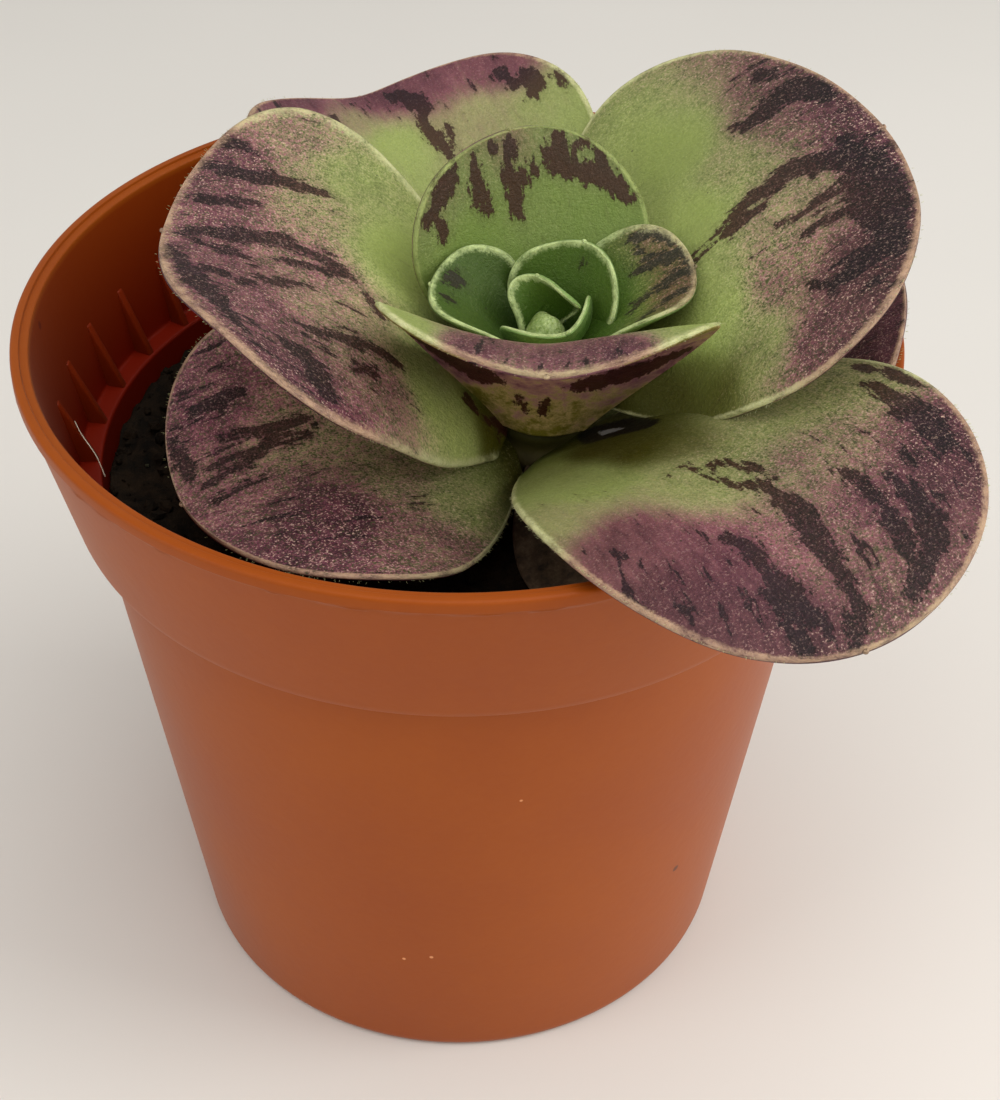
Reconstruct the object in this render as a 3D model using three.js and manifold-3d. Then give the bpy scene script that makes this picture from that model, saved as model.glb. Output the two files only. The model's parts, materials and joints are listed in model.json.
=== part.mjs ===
// A young aeonium rosette growing in a round plastic nursery pot.
// Millimetres, +Z up. The origin is the centre of the pot's underside.
// Headings are degrees from +X towards +Y. The plant's front is towards -Y.
import * as THREE from 'three';
import { mergeVertices } from 'three/addons/utils/BufferGeometryUtils.js';
import Module from 'manifold-3d';

const wasm = await Module();
wasm.setup();

const DEG = Math.PI / 180;

// Clearance between pieces that rest against each other
const GAP = 0.3;

// Points nearer than this are one point
const SAME_POINT = 1e-4;

// Pot: a tapered body, a wider collar on top of it and a lip round the rim
const POT = {
  sides: 60,
  height: 80,
  rimRadius: 45,
  lipHeight: 1.5,
  lipProud: 0.4,
  lipBevel: 0.4,
  rimWidth: 1.8,
  rimStep: 0.3,
  rimDepth: 1,
  collarHeight: 17,
  collarBottomRadius: 41.1,
  collarWall: 1.3,
  bodyTopRadius: 38.9,
  bodyBottomRadius: 31.2,
  bodyWall: 1.2,
  ledge: 0.6,
  footRadius: 30,
  footRound: 1.2,
  footSteps: 3,
  insideRound: 2,
  floor: 2.4,
  recessDepth: 1,
  recessInner: 10,
  recessOuter: 22,
  drainHoles: 6,
  drainRadius: 2.5,
  drainSides: 12,
};

// Thin upright fins inside the collar, which keep stacked pots apart
const FINS = { count: 36, height: 7.5, depth: 2, thickness: 0.9, root: 0.5, sunk: 0.3 };

// Soil: its surface sags a little to the wall
const SOIL = { level: 61.5, rings: 9, sides: 40, wallDrop: 0.8 };

// The lumps in the soil: crossing waves with their rates along x and y, phase and height
const SOIL_WAVES = [
  { x: 0.55, y: 0.48, phase: 0.9, height: 0.24 },
  { x: 0.55, y: -0.48, phase: 1.7, height: 0.24 },
  { x: 0.91, y: -0.73, phase: 2.1, height: 0.27 },
  { x: 1.37, y: 1.21, phase: 1.6, height: 0.22 },
];

// Stem: short, round and ringed by leaf scars
const STEM = {
  x: 8.6,
  y: -3,
  sides: 24,
  bottom: 36,
  rootTop: 62.5,
  rootRows: 4,
  top: 78.2,
  radius: 4.6,
  rootRadius: 2.6,
  topRadius: 2.6,
  crown: 0.5,
  scar: 0.22,
  scarPitch: 3.2,
  scarPhase: 1,
};

// Leaf blades. All of them share one formula, and each has its own values:
// heading and turn: where the midrib points at its base, and how far it swings by the tip
// rise and riseTip: how steeply the midrib climbs at its base and at its tip
// length, halfWidth, widest, shoulder: the flat outline; widest is where, along the length
// cupLeft and cupRight: how far each half curls up by its edge, seen from the stem
// roll and rollTip: how far the blade leans about its midrib
// fold and foldTip: a soft V fold along the midrib
// lobes: gentle lobes of the outline, each with its count round the blade, size and turn
// z and reach: the height of the base and its distance from the stem's axis
const LEAVES = [
  { name: 'leaf_right_low', heading: 8, rise: 24, riseTip: 35, length: 36.5, halfWidth: 19.5, cupLeft: 12,
    cupRight: 8, roll: 2, z: 66.5, widest: 0.65, fold: -1, shoulder: 0.9,
    lobes: [[3, 0.006, 10], [4, 0.008, 35], [5, 0.009, 15]] },
  { name: 'leaf_right_front', heading: -59, turn: -11, rise: 40, riseTip: -6, length: 56.5, halfWidth: 20,
    cupRight: 8, roll: 13, rollTip: 4, z: 66.5, widest: 0.55, bow: 3, fold: 6, foldTip: 1,
    shoulder: 1.05, baseHalfWidth: 5.6, lobes: [[1, 0.005, 140], [2, 0.007, -160], [3, 0.009, -75]] },
  { name: 'leaf_left_low', heading: 207, turn: -3, rise: 22, riseTip: -8, length: 36, halfWidth: 21.5,
    cupLeft: 15, cupRight: 17, roll: -13, rollTip: 2, z: 66.5, widest: 0.59, fold: -2,
    foldTip: 2, shoulder: 1.05, lobes: [[1, 0.016, 155], [3, 0.006, 150], [4, 0.007, -15]] },
  { name: 'leaf_back', heading: 114, turn: 1, rise: 27, riseTip: 8, length: 46.5, halfWidth: 20,
    cupLeft: 29, cupRight: 27, roll: -3, z: 68.5, widest: 0.65, fold: -1, foldTip: 16,
    shoulder: 0.95, lobes: [[3, 0.004, 165], [4, 0.009, 65], [5, 0.011, -155]] },
  { name: 'leaf_left', heading: 188, turn: -9, rise: 56, riseTip: 14, length: 41.5, halfWidth: 23.5,
    cupLeft: 11, cupRight: 28, roll: -13, rollTip: 8, z: 69.5, widest: 0.69, bow: -0.9, fold: -9,
    foldTip: 1, shoulder: 0.95, baseHalfWidth: 6.1,
    lobes: [[1, 0.034, -160], [4, 0.015, 65], [5, 0.01, 155]] },
  { name: 'leaf_right_back', heading: 20, turn: -4, rise: 54, riseTip: 21, length: 39.5, halfWidth: 27,
    cupLeft: 12, cupRight: 20, roll: 5, rollTip: 3, z: 72.5, widest: 0.56, fold: -6,
    foldTip: -1, shoulder: 0.85, lobes: [[1, 0.01, -60], [2, 0.034, 10], [4, 0.003, 145]] },
  { name: 'leaf_front', heading: 268, rise: 82, riseTip: 9.5, length: 30.3, halfWidth: 16, cupLeft: 10,
    cupRight: 17, roll: -4, rollTip: 1, z: 70.4, widest: 0.62, fold: 5, foldTip: 8, shoulder: 1.1 },
  { name: 'leaf_upright_back', heading: 103, turn: 10, rise: 57, riseTip: 75, length: 22, halfWidth: 13,
    cupLeft: 33, cupRight: 41, roll: -8, rollTip: 5, z: 75.5, widest: 0.52, fold: 4, foldTip: -2,
    shoulder: 0.9, lobes: [[1, 0.02, -155], [3, 0.01, 40], [4, 0.015, -115]] },
];

// The three small leaves round the heart, thinner and nearer the axis
const INNER_LEAVES = [
  { name: 'leaf_inner_left', heading: 182, turn: -6, rise: 51, riseTip: 36, length: 11.5, halfWidth: 8,
    cupLeft: 51, cupRight: 57, rollTip: -11, z: 77, widest: 0.54, fold: 9, shoulder: 0.85,
    lobes: [[2, 0.036, 0], [3, 0.007, -15], [5, 0.013, 165]] },
  { name: 'leaf_inner_right', heading: 8, turn: -5, rise: 48, riseTip: 24, length: 15, halfWidth: 8,
    cupLeft: 46, cupRight: 42, roll: -3, rollTip: 10, z: 77.5, widest: 0.6, bow: -0.5, fold: 3,
    foldTip: -3, shoulder: 0.9, lobes: [[2, 0.033, -160], [3, 0.042, 50], [4, 0.015, -135]] },
  { name: 'leaf_inner_back', heading: 51, turn: 3, rise: 59, riseTip: 81, length: 11.2, halfWidth: 7,
    cupLeft: 59, cupRight: 55, roll: 6, rollTip: 7, z: 76.2, reach: 2.7, widest: 0.57, foldTip: 3,
    shoulder: 0.9, lobes: [[3, 0.024, 15], [4, 0.014, -25], [5, 0.017, -85]] },
];

// The two newest leaves, still folded together round the growing point
const HEART_LEAVES = [
  { heading: 113, turn: -8, rise: 70, riseTip: 99, length: 6, halfWidth: 4,
    cupLeft: 61, cupRight: 61, rollTip: -37, z: 79, reach: 1.4, widest: 0.61, bow: -1, shoulder: 0.9,
    baseHalfWidth: 2.1 },
  { heading: -67, turn: 9, rise: 56, riseTip: 57, length: 5.5, halfWidth: 6,
    cupLeft: 59, cupRight: 54, roll: -9, rollTip: 5, z: 77.5, reach: 1.7, widest: 0.62, fold: -3,
    foldTip: 11, shoulder: 0.9, baseHalfWidth: 3.2 },
];
const HEART = {
  bottom: 78.6,
  footRadius: 1.75,
  radius: 2.2,
  capRadius: 1.3,
  capHeight: 0.6,
  top: 81.6,
  sides: 14,
};

// A dried leaf that hangs from the stem and lies just over the soil
const WITHERED = { name: 'leaf_withered', heading: -84, turn: 8, rise: -20, riseTip: 10, length: 20,
  halfWidth: 5, cupLeft: -20, cupRight: 20, roll: 12, rollTip: 30, z: 66, widest: 0.6, shoulder: 1 };

// The size groups of blades: how many rows and columns of faces, the base, and the thickness
const LARGE = { rows: 15, columns: 12, baseHalfWidth: 4.2, reach: 4.2, middle: 2.3, edge: 0.9 };
const SMALL = { rows: 9, columns: 8, baseHalfWidth: 2.4, reach: 3, middle: 1.3, edge: 0.7 };
const TINY = { rows: 7, columns: 6, baseHalfWidth: 2.1, reach: 1.5, middle: 0.9, edge: 0.65 };
const DRY = { rows: 8, columns: 6, baseHalfWidth: 2, reach: 4.2, middle: 1, edge: 0.7 };

// The old, low leaves that the sun has turned purple
const PURPLE_LEAVES = ['leaf_right_low', 'leaf_right_front', 'leaf_left_low'];

// How much of its thickness a blade has lost by the tip
const TIP_THINNING = 0.75;

// Steps in which a midrib's bend is added up
const MIDRIB_STEPS = 40;

// Half the width of the rounded bottom of a fold, as a share of the blade's half width
const CREASE = 0.12;

// Lobes begin at nothing at the base, and are full from this share of the length
const LOBES_FULL = 0.35;
const LOBES_MOST = 1.5;

// Rows of a blade: the share below its widest place, and how they crowd towards the base
const ROWS = { lower: 0.5, crowding: 1.25 };

// Colour and roughness of each kind of surface
const LOOK = {
  terracotta: { color: new THREE.Color(0.55, 0.24, 0.11), roughness: 0.45 },
  peat: { color: new THREE.Color(0.03, 0.025, 0.02), roughness: 0.95 },
  stem: { color: new THREE.Color(0.3, 0.28, 0.12), roughness: 0.6 },
  green: { color: new THREE.Color(0.36, 0.42, 0.2), roughness: 0.6 },
  purple: { color: new THREE.Color(0.3, 0.22, 0.24), roughness: 0.6 },
  young: { color: new THREE.Color(0.3, 0.46, 0.22), roughness: 0.6 },
  dry: { color: new THREE.Color(0.22, 0.18, 0.1), roughness: 0.8 },
};

// Turns a closed geometry into a solid that can be joined and cut.
function solidOf(geometry) {
  const bare = geometry.clone();
  bare.deleteAttribute('normal');
  bare.deleteAttribute('uv');
  const merged = mergeVertices(bare, SAME_POINT);
  return new wasm.Manifold(new wasm.Mesh({
    numProp: 3,
    vertProperties: new Float32Array(merged.attributes.position.array),
    triVerts: new Uint32Array(merged.index.array),
  }));
}

// The geometry of a solid, keeping only its largest body, so that no loose scrap stays.
function geometryOf(solid) {
  const bodies = solid.decompose();
  bodies.sort((a, b) => b.volume() - a.volume());
  const mesh = bodies[0].getMesh();
  const geometry = new THREE.BufferGeometry();
  const points = new Float32Array(mesh.numVert * 3);
  for (let i = 0; i < mesh.numVert; i += 1) {
    for (let k = 0; k < 3; k += 1) points[i * 3 + k] = mesh.vertProperties[i * mesh.numProp + k];
  }
  geometry.setAttribute('position', new THREE.BufferAttribute(points, 3));
  geometry.setIndex([...mesh.triVerts]);
  geometry.computeVertexNormals();
  return geometry;
}

// A closed turned shape round the vertical axis through (x, y), from [radius, z] pairs.
function turned(profile, sides, x = 0, y = 0) {
  const points = profile.map(([radius, z]) => new THREE.Vector2(radius, z));
  const geometry = new THREE.LatheGeometry(points, sides);
  geometry.rotateX(Math.PI / 2);
  geometry.translate(x, y, 0);
  return solidOf(geometry);
}

// Radius of a straight taper at height z.
function taper(z, z0, r0, z1, r1) {
  return r0 + ((r1 - r0) * (z - z0)) / (z1 - z0);
}

const COLLAR_BOTTOM = POT.height - POT.collarHeight;
const LIP_BOTTOM = POT.height - POT.lipHeight;
const COLLAR_TOP_RADIUS = POT.rimRadius - POT.lipProud;
const RIM_SEAM_RADIUS = POT.rimRadius - POT.rimWidth / 2;

function bodyInnerRadius(z) {
  return taper(z, POT.footRound, POT.bodyBottomRadius, COLLAR_BOTTOM, POT.bodyTopRadius) - POT.bodyWall;
}

function collarInnerRadius(z) {
  const top = POT.rimRadius - POT.rimWidth;
  return taper(z, COLLAR_BOTTOM, POT.collarBottomRadius - POT.collarWall, POT.height, top);
}

// The pot: outside from the axis up to the rim, then inside back down to the axis
function makePot() {
  const profile = [
    [0, 0],
    [POT.recessInner - 1, 0],
    [POT.recessInner, POT.recessDepth],
    [POT.recessOuter, POT.recessDepth],
    [POT.recessOuter + 1, 0],
    [POT.footRadius, 0],
  ];
  for (let i = 1; i <= POT.footSteps; i += 1) {
    const a = (i / POT.footSteps) * (Math.PI / 2);
    profile.push([
      POT.footRadius + (POT.bodyBottomRadius - POT.footRadius) * Math.sin(a),
      POT.footRound * (1 - Math.cos(a)),
    ]);
  }
  profile.push(
    [POT.bodyTopRadius, COLLAR_BOTTOM - POT.ledge],
    [POT.collarBottomRadius - POT.lipBevel, COLLAR_BOTTOM - POT.ledge],
    [POT.collarBottomRadius, COLLAR_BOTTOM],
    [COLLAR_TOP_RADIUS, LIP_BOTTOM],
    [POT.rimRadius, LIP_BOTTOM + POT.lipBevel / 2],
    [POT.rimRadius, POT.height - POT.lipBevel],
    [POT.rimRadius - POT.lipBevel, POT.height],
    [RIM_SEAM_RADIUS, POT.height],
    [RIM_SEAM_RADIUS - POT.rimStep / 3, POT.height - POT.rimStep],
    [POT.rimRadius - POT.rimWidth, POT.height - POT.rimStep],
    [collarInnerRadius(POT.height - POT.rimDepth), POT.height - POT.rimDepth],
    [collarInnerRadius(COLLAR_BOTTOM + POT.ledge), COLLAR_BOTTOM + POT.ledge],
    [bodyInnerRadius(COLLAR_BOTTOM) + POT.ledge / 2, COLLAR_BOTTOM + POT.ledge],
    [bodyInnerRadius(COLLAR_BOTTOM), COLLAR_BOTTOM + POT.ledge / 3],
    [bodyInnerRadius(POT.footRound + POT.insideRound), POT.footRound + POT.insideRound],
    [bodyInnerRadius(POT.footRound) - POT.insideRound, POT.floor],
    [0, POT.floor],
  );
  let pot = turned(profile, POT.sides);
  pot = pot.add(makeFins());
  for (let i = 0; i < POT.drainHoles; i += 1) {
    pot = pot.subtract(makeDrain((i / POT.drainHoles) * 2 * Math.PI));
  }
  return pot;
}

// One hole through the recessed part of the floor
function makeDrain(angle) {
  const reach = (POT.recessInner + POT.recessOuter) / 2;
  const radius = POT.drainRadius;
  const geometry = new THREE.CylinderGeometry(radius, radius, 4 * POT.floor, POT.drainSides);
  geometry.rotateX(Math.PI / 2);
  geometry.translate(reach * Math.cos(angle), reach * Math.sin(angle), POT.floor / 2);
  return solidOf(geometry);
}

// All the fins: triangles that stand on the inner ledge, rooted in the ledge and the wall
function makeFins() {
  const foot = COLLAR_BOTTOM + POT.ledge - FINS.sunk;
  const top = COLLAR_BOTTOM + POT.ledge + FINS.height;
  const wall = collarInnerRadius(foot);
  const outline = new THREE.Shape();
  outline.moveTo(wall - FINS.depth, foot);
  outline.lineTo(wall + FINS.root, foot);
  outline.lineTo(collarInnerRadius(top) + FINS.root, top);
  let fins = null;
  for (let i = 0; i < FINS.count; i += 1) {
    const geometry = new THREE.ExtrudeGeometry(outline, { depth: FINS.thickness, bevelEnabled: false });
    geometry.translate(0, 0, -FINS.thickness / 2);
    geometry.rotateX(Math.PI / 2);
    geometry.rotateZ(((i + 0.5) / FINS.count) * 2 * Math.PI);
    const fin = solidOf(geometry);
    fins = fins ? fins.add(fin) : fin;
  }
  return fins;
}

// Height of the soil's surface: the lumps, less the drop near the wall
function soilHeight(x, y) {
  let height = SOIL.level - SOIL.wallDrop * (Math.hypot(x, y) / POT.bodyTopRadius) ** 4;
  for (const wave of SOIL_WAVES) height += wave.height * Math.sin(wave.x * x + wave.y * y + wave.phase);
  return height;
}

// The soil fills the body of the pot up to just under the inner ledge
function makeSoil() {
  const bottom = POT.floor + GAP;
  const edge = SOIL.level - SOIL.wallDrop;
  const shoulder = POT.footRound + POT.insideRound;
  const surfaceRadius = bodyInnerRadius(edge) - GAP;
  const profile = [
    [0, bottom],
    [bodyInnerRadius(POT.footRound) - POT.insideRound - GAP, bottom],
    [bodyInnerRadius(shoulder) - GAP, shoulder],
    [surfaceRadius, edge],
  ];
  for (let i = SOIL.rings - 1; i >= 0; i -= 1) profile.push([(surfaceRadius * i) / SOIL.rings, SOIL.level]);
  const points = profile.map(([radius, z]) => new THREE.Vector2(radius, z));
  const geometry = new THREE.LatheGeometry(points, SOIL.sides);
  geometry.rotateX(Math.PI / 2);
  const position = geometry.attributes.position;
  for (let i = 0; i < position.count; i += 1) {
    if (position.getZ(i) > SOIL.level - 0.001) {
      position.setZ(i, soilHeight(position.getX(i), position.getY(i)));
    }
  }
  return solidOf(geometry).subtract(makeStem(GAP));
}

// The stem, or the room it needs when grow is a clearance
function makeStem(grow) {
  const profile = [[0, STEM.bottom - grow]];
  for (let i = 0; i <= STEM.rootRows; i += 1) {
    const z = STEM.bottom + ((STEM.rootTop - STEM.bottom) * i) / STEM.rootRows;
    const radius = taper(z, STEM.bottom, STEM.rootRadius, STEM.rootTop, STEM.radius);
    profile.push([radius + grow, i ? z : z - grow]);
  }
  const step = STEM.scarPitch / 2;
  for (let z = STEM.rootTop + step; z < STEM.top - 2 * STEM.crown; z += step) {
    const wave = Math.sin((2 * Math.PI * (z - STEM.rootTop)) / STEM.scarPitch + STEM.scarPhase);
    const scar = STEM.scar * (grow ? 1 : wave);
    const climbed = (z - STEM.rootTop) / (STEM.top - STEM.rootTop);
    const neck = STEM.radius + (STEM.topRadius - STEM.radius) * climbed ** 3;
    profile.push([neck + scar + grow, z]);
  }
  profile.push([STEM.topRadius - STEM.crown + grow, STEM.top + grow]);
  profile.push([0, STEM.top + grow]);
  return turned(profile, STEM.sides, STEM.x, STEM.y);
}

// Half the width of a leaf's flat outline, at x from 0 at the base to 1 at the tip
function halfWidthAt(leaf, x, grow) {
  const base = leaf.baseHalfWidth / leaf.halfWidth;
  if (x < leaf.widest) {
    const swell = Math.sin((Math.PI / 2) * (x / leaf.widest)) ** leaf.shoulder;
    return leaf.halfWidth * (base + (1 - base) * swell) + grow;
  }
  const q = (x - leaf.widest) / (1 - leaf.widest);
  return leaf.halfWidth * Math.sqrt(Math.max(0, 1 - q * q)) + grow;
}

// The directions of the blade at x: along the midrib, across it to its left, and up
function frameAt(leaf, x) {
  const heading = (leaf.heading + leaf.turn * x) * DEG;
  const rise = (leaf.rise + (leaf.riseTip - leaf.rise) * x) * DEG;
  const roll = (leaf.roll + (leaf.rollTip - leaf.roll) * x) * DEG;
  const along = new THREE.Vector3(
    Math.cos(rise) * Math.cos(heading), Math.cos(rise) * Math.sin(heading), Math.sin(rise));
  const across = new THREE.Vector3(-Math.sin(heading), Math.cos(heading), 0).applyAxisAngle(along, roll);
  const up = new THREE.Vector3().crossVectors(along, across);
  return { along, across, up };
}

// The midrib's point at x, stepped along from its base
function midribAt(leaf, x) {
  const heading = leaf.heading * DEG;
  const point = new THREE.Vector3(STEM.x, STEM.y, leaf.z);
  point.x += leaf.reach * Math.cos(heading);
  point.y += leaf.reach * Math.sin(heading);
  for (let i = 0; i < MIDRIB_STEPS; i += 1) {
    const middle = (x * (i + 0.5)) / MIDRIB_STEPS;
    point.addScaledVector(frameAt(leaf, middle).along, (x * leaf.length) / MIDRIB_STEPS);
  }
  return point;
}

// How much wider than its plain outline the blade is in the direction of a place, by its lobes
function lobesAt(leaf, x, side) {
  const forward = (x - leaf.widest) / (1 - leaf.widest);
  const sideways = side / leaf.halfWidth;
  const turn = Math.atan2(sideways, forward);
  const outness = Math.min(forward ** 2 + sideways ** 2, LOBES_MOST);
  let swell = 0;
  for (const [count, size, phase] of leaf.lobes) swell += size * Math.cos(count * turn - phase * DEG);
  return 1 + swell * outness * THREE.MathUtils.smoothstep(x, 0, LOBES_FULL);
}

// A point of the blade: x along it, v across it from -1 to 1, lifted off its middle surface
function bladePoint(leaf, plainX, v, lift, grow) {
  const plainSide = v * halfWidthAt(leaf, plainX, grow);
  const lobes = lobesAt(leaf, plainX, plainSide);
  const x = leaf.widest + (plainX - leaf.widest) * lobes;
  const side = plainSide * lobes;
  const { across, up } = frameAt(leaf, x);
  const cup = (v > 0 ? leaf.cupLeft : leaf.cupRight) * DEG / leaf.halfWidth;
  const bend = Math.abs(cup) < 1e-5 ? 1e-5 : cup;
  const fold = Math.tan((leaf.fold * (1 - x) + leaf.foldTip * x) * DEG);
  const sideways = Math.sin(bend * side) / bend + leaf.bow * Math.sin(Math.PI * x);
  const crease = CREASE * leaf.halfWidth;
  const height = (1 - Math.cos(bend * side)) / bend + (Math.hypot(side, crease) - crease) * fold + lift;
  return midribAt(leaf, x).addScaledVector(across, sideways).addScaledVector(up, height);
}

// Thickness of a fleshy blade: fullest low on the midrib, thin at the margin
function thicknessAt(leaf, x, v) {
  return leaf.edge + (leaf.middle - leaf.edge) * (1 - v * v) * (1 - TIP_THINNING * x * x);
}

// Where the rows of a blade lie along it: evenly up to its widest place, then closing in
function rowPlaces(leaf) {
  const places = [];
  const lower = Math.round(leaf.rows * ROWS.lower);
  for (let i = 0; i <= lower; i += 1) places.push(leaf.widest * (i / lower) ** ROWS.crowding);
  const upper = leaf.rows - lower;
  for (let i = 1; i < upper; i += 1) {
    places.push(leaf.widest + (1 - leaf.widest) * Math.sin((Math.PI / 2) * (i / upper)));
  }
  return places;
}

// A blade as a closed solid. Both faces are split into triangles alike.
function makeBlade(leaf, grow = 0) {
  const places = rowPlaces(leaf);
  const columns = leaf.columns;
  const positions = [];
  const index = [];
  const put = (x, v, face) => {
    const lift = face * (thicknessAt(leaf, x, v) / 2 + grow);
    positions.push(...bladePoint(leaf, x, v, lift, grow).toArray());
  };
  for (const x of places) {
    for (let j = 0; j <= columns; j += 1) {
      const v = -1 + (2 * j) / columns;
      put(x, v, 1);
      put(x, v, -1);
    }
  }
  const tip = positions.length / 3;
  put(1, 0, 1);
  put(1, 0, -1);
  const id = (i, j, under) => 2 * (i * (columns + 1) + j) + under;
  const quad = (a, b, c, d) => index.push(a, b, c, a, c, d);
  const last = places.length - 1;
  for (let i = 0; i < last; i += 1) {
    for (let j = 0; j < columns; j += 1) {
      quad(id(i, j, 0), id(i + 1, j, 0), id(i + 1, j + 1, 0), id(i, j + 1, 0));
      index.push(id(i, j, 1), id(i + 1, j + 1, 1), id(i + 1, j, 1));
      index.push(id(i, j, 1), id(i, j + 1, 1), id(i + 1, j + 1, 1));
    }
    quad(id(i, columns, 0), id(i + 1, columns, 0), id(i + 1, columns, 1), id(i, columns, 1));
    quad(id(i, 0, 0), id(i, 0, 1), id(i + 1, 0, 1), id(i + 1, 0, 0));
  }
  for (let j = 0; j < columns; j += 1) {
    index.push(id(last, j, 0), tip, id(last, j + 1, 0));
    index.push(id(last, j, 1), id(last, j + 1, 1), tip + 1);
    quad(id(0, j, 0), id(0, j + 1, 0), id(0, j + 1, 1), id(0, j, 1));
  }
  quad(id(last, columns, 0), tip, tip + 1, id(last, columns, 1));
  quad(id(last, 0, 0), id(last, 0, 1), tip + 1, tip);
  const geometry = new THREE.BufferGeometry();
  geometry.setAttribute('position', new THREE.Float32BufferAttribute(positions, 3));
  geometry.setIndex(index);
  return solidOf(geometry);
}

// A leaf's full set of values: its own, its size group's, and nought for what it leaves out
function complete(leaf, group) {
  const nought = { turn: 0, roll: 0, rollTip: 0, cupLeft: 0, bow: 0, fold: 0, foldTip: 0, lobes: [] };
  return { ...nought, ...group, ...leaf };
}

const group = new THREE.Group();

function addPiece(name, solid, look) {
  const material = new THREE.MeshStandardMaterial({ ...look, metalness: 0 });
  const mesh = new THREE.Mesh(geometryOf(solid), material);
  mesh.name = name;
  group.add(mesh);
}

addPiece('pot', makePot(), LOOK.terracotta);
addPiece('soil', makeSoil(), LOOK.peat);
addPiece('stem', makeStem(0), LOOK.stem);

// Each blade is cut clear of the stem and of the blades already in place below it
const taken = [makeStem(GAP)];
function addBlade(leaf, look) {
  let blade = makeBlade(leaf);
  for (const room of taken) blade = blade.subtract(room);
  addPiece(leaf.name, blade, look);
  taken.push(makeBlade(leaf, GAP));
}

addBlade(complete(WITHERED, DRY), LOOK.dry);
for (const leaf of LEAVES) {
  const look = PURPLE_LEAVES.includes(leaf.name) ? LOOK.purple : LOOK.green;
  addBlade(complete(leaf, LARGE), look);
}
for (const leaf of INNER_LEAVES) addBlade(complete(leaf, SMALL), LOOK.young);

// The heart: the growing point with the newest leaves fused to it
let heart = turned([
  [0, HEART.bottom],
  [HEART.footRadius, HEART.bottom],
  [HEART.radius, (HEART.bottom + HEART.top - HEART.capHeight) / 2],
  [HEART.capRadius, HEART.top - HEART.capHeight],
  [0, HEART.top],
], HEART.sides, STEM.x, STEM.y);
for (const leaf of HEART_LEAVES) heart = heart.add(makeBlade(complete(leaf, TINY)));
for (const room of taken) heart = heart.subtract(room);
addPiece('heart_bud', heart, LOOK.young);

export default group;
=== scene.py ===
"""Looks of a young aeonium rosette in a round plastic nursery pot.

Sizes are millimetres in the tables and metres in the meshes. +Z is up and the plant's front is towards -Y.
"""
import json
import math
import random

import bmesh
import bpy
import numpy as np
from mathutils import Matrix, Vector

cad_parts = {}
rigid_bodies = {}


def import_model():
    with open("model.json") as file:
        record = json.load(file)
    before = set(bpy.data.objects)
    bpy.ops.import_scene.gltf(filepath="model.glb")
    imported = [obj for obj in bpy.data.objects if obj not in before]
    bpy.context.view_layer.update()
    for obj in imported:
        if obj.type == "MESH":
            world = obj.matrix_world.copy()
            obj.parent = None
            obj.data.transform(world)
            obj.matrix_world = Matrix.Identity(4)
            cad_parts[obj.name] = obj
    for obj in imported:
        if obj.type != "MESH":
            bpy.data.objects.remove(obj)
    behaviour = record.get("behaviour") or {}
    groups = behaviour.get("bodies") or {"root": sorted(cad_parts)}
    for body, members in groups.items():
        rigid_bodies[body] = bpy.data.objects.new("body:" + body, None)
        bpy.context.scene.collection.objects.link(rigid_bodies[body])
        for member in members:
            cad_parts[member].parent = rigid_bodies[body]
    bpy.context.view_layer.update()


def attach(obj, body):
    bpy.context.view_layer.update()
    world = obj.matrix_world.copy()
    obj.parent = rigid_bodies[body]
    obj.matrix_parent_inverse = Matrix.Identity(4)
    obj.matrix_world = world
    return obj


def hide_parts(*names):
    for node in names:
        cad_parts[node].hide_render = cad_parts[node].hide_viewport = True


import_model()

MM = 0.001
DEG = math.pi / 180

# Where the photographer stood, in metres, the lens in mm, and how the camera was turned, in degrees
CAMERA = {"place": (0.0, -0.17937, 0.19872), "lens": 68.73, "pan": 1.45, "tilt": -40.0, "roll": -0.8}

# Soft lamps: place and what they look at in metres, size, power and colour
LAMPS = {
    "top softbox": ((0.1, -0.1, 0.52), (0, 0, 0.08), (0.6, 0.6), 1.95, (1, 0.98, 0.95)),
    "front softbox": ((0.1, -0.6, 0.22), (0, 0, 0.06), (0.45, 0.3), 0.45, (1, 0.97, 0.94)),
    "left softbox": ((-0.5, -0.25, 0.3), (0, 0, 0.06), (0.35, 0.5), 1.05, (1, 0.96, 0.92)),
    "right softbox": ((0.55, -0.1, 0.25), (0, 0, 0.05), (0.3, 0.45), 1.85, (1, 0.97, 0.92)),
}

# The painted shade inside the pot, a deeper red-brown: how strong it is at the rim and on the fins, and how
# far down it is full
POT = {
    "sides": 240, "height": 80, "rim_radius": 45, "lip_height": 1.5, "lip_proud": 0.4, "rim_width": 1.8,
    "rim_step": 0.3, "rim_depth": 1, "collar_height": 17, "collar_bottom_radius": 41.1, "collar_wall": 1.3,
    "body_top_radius": 38.9, "body_bottom_radius": 31.2, "body_wall": 1.2, "ledge": 0.6, "foot_round": 1.2,
    "inside_round": 2, "floor": 2.4, "recess_depth": 1, "recess_inner": 10, "recess_outer": 22,
    "drain_holes": 6, "drain_radius": 2.5, "rim_painted_shade": 0.45, "painted_shade_depth": 25, "fin_painted_shade": 0.8,
}
# The ragged thread of plastic under the lip, where the mould closed: its waves round the pot, and its reach
# outwards, as a part of the radius, and down
BURR = {"seed": 31, "rates": (7, 13, 29, 47, 71), "out": 0.0011, "down": 0.05, "bare": 0.2}
FINS = {"count": 36, "height": 7.5, "depth": 2, "top_depth": 0.15, "thickness": 0.9, "root": 0.5, "sunk": 0.3,
        "bevel": 0.12}
SOIL = {"level": 61.5, "wall_drop": 0.8, "gap": 0.3, "rings": 90, "sides": 200, "crumbs_to": 37.2, "wall": 37.4}
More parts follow.
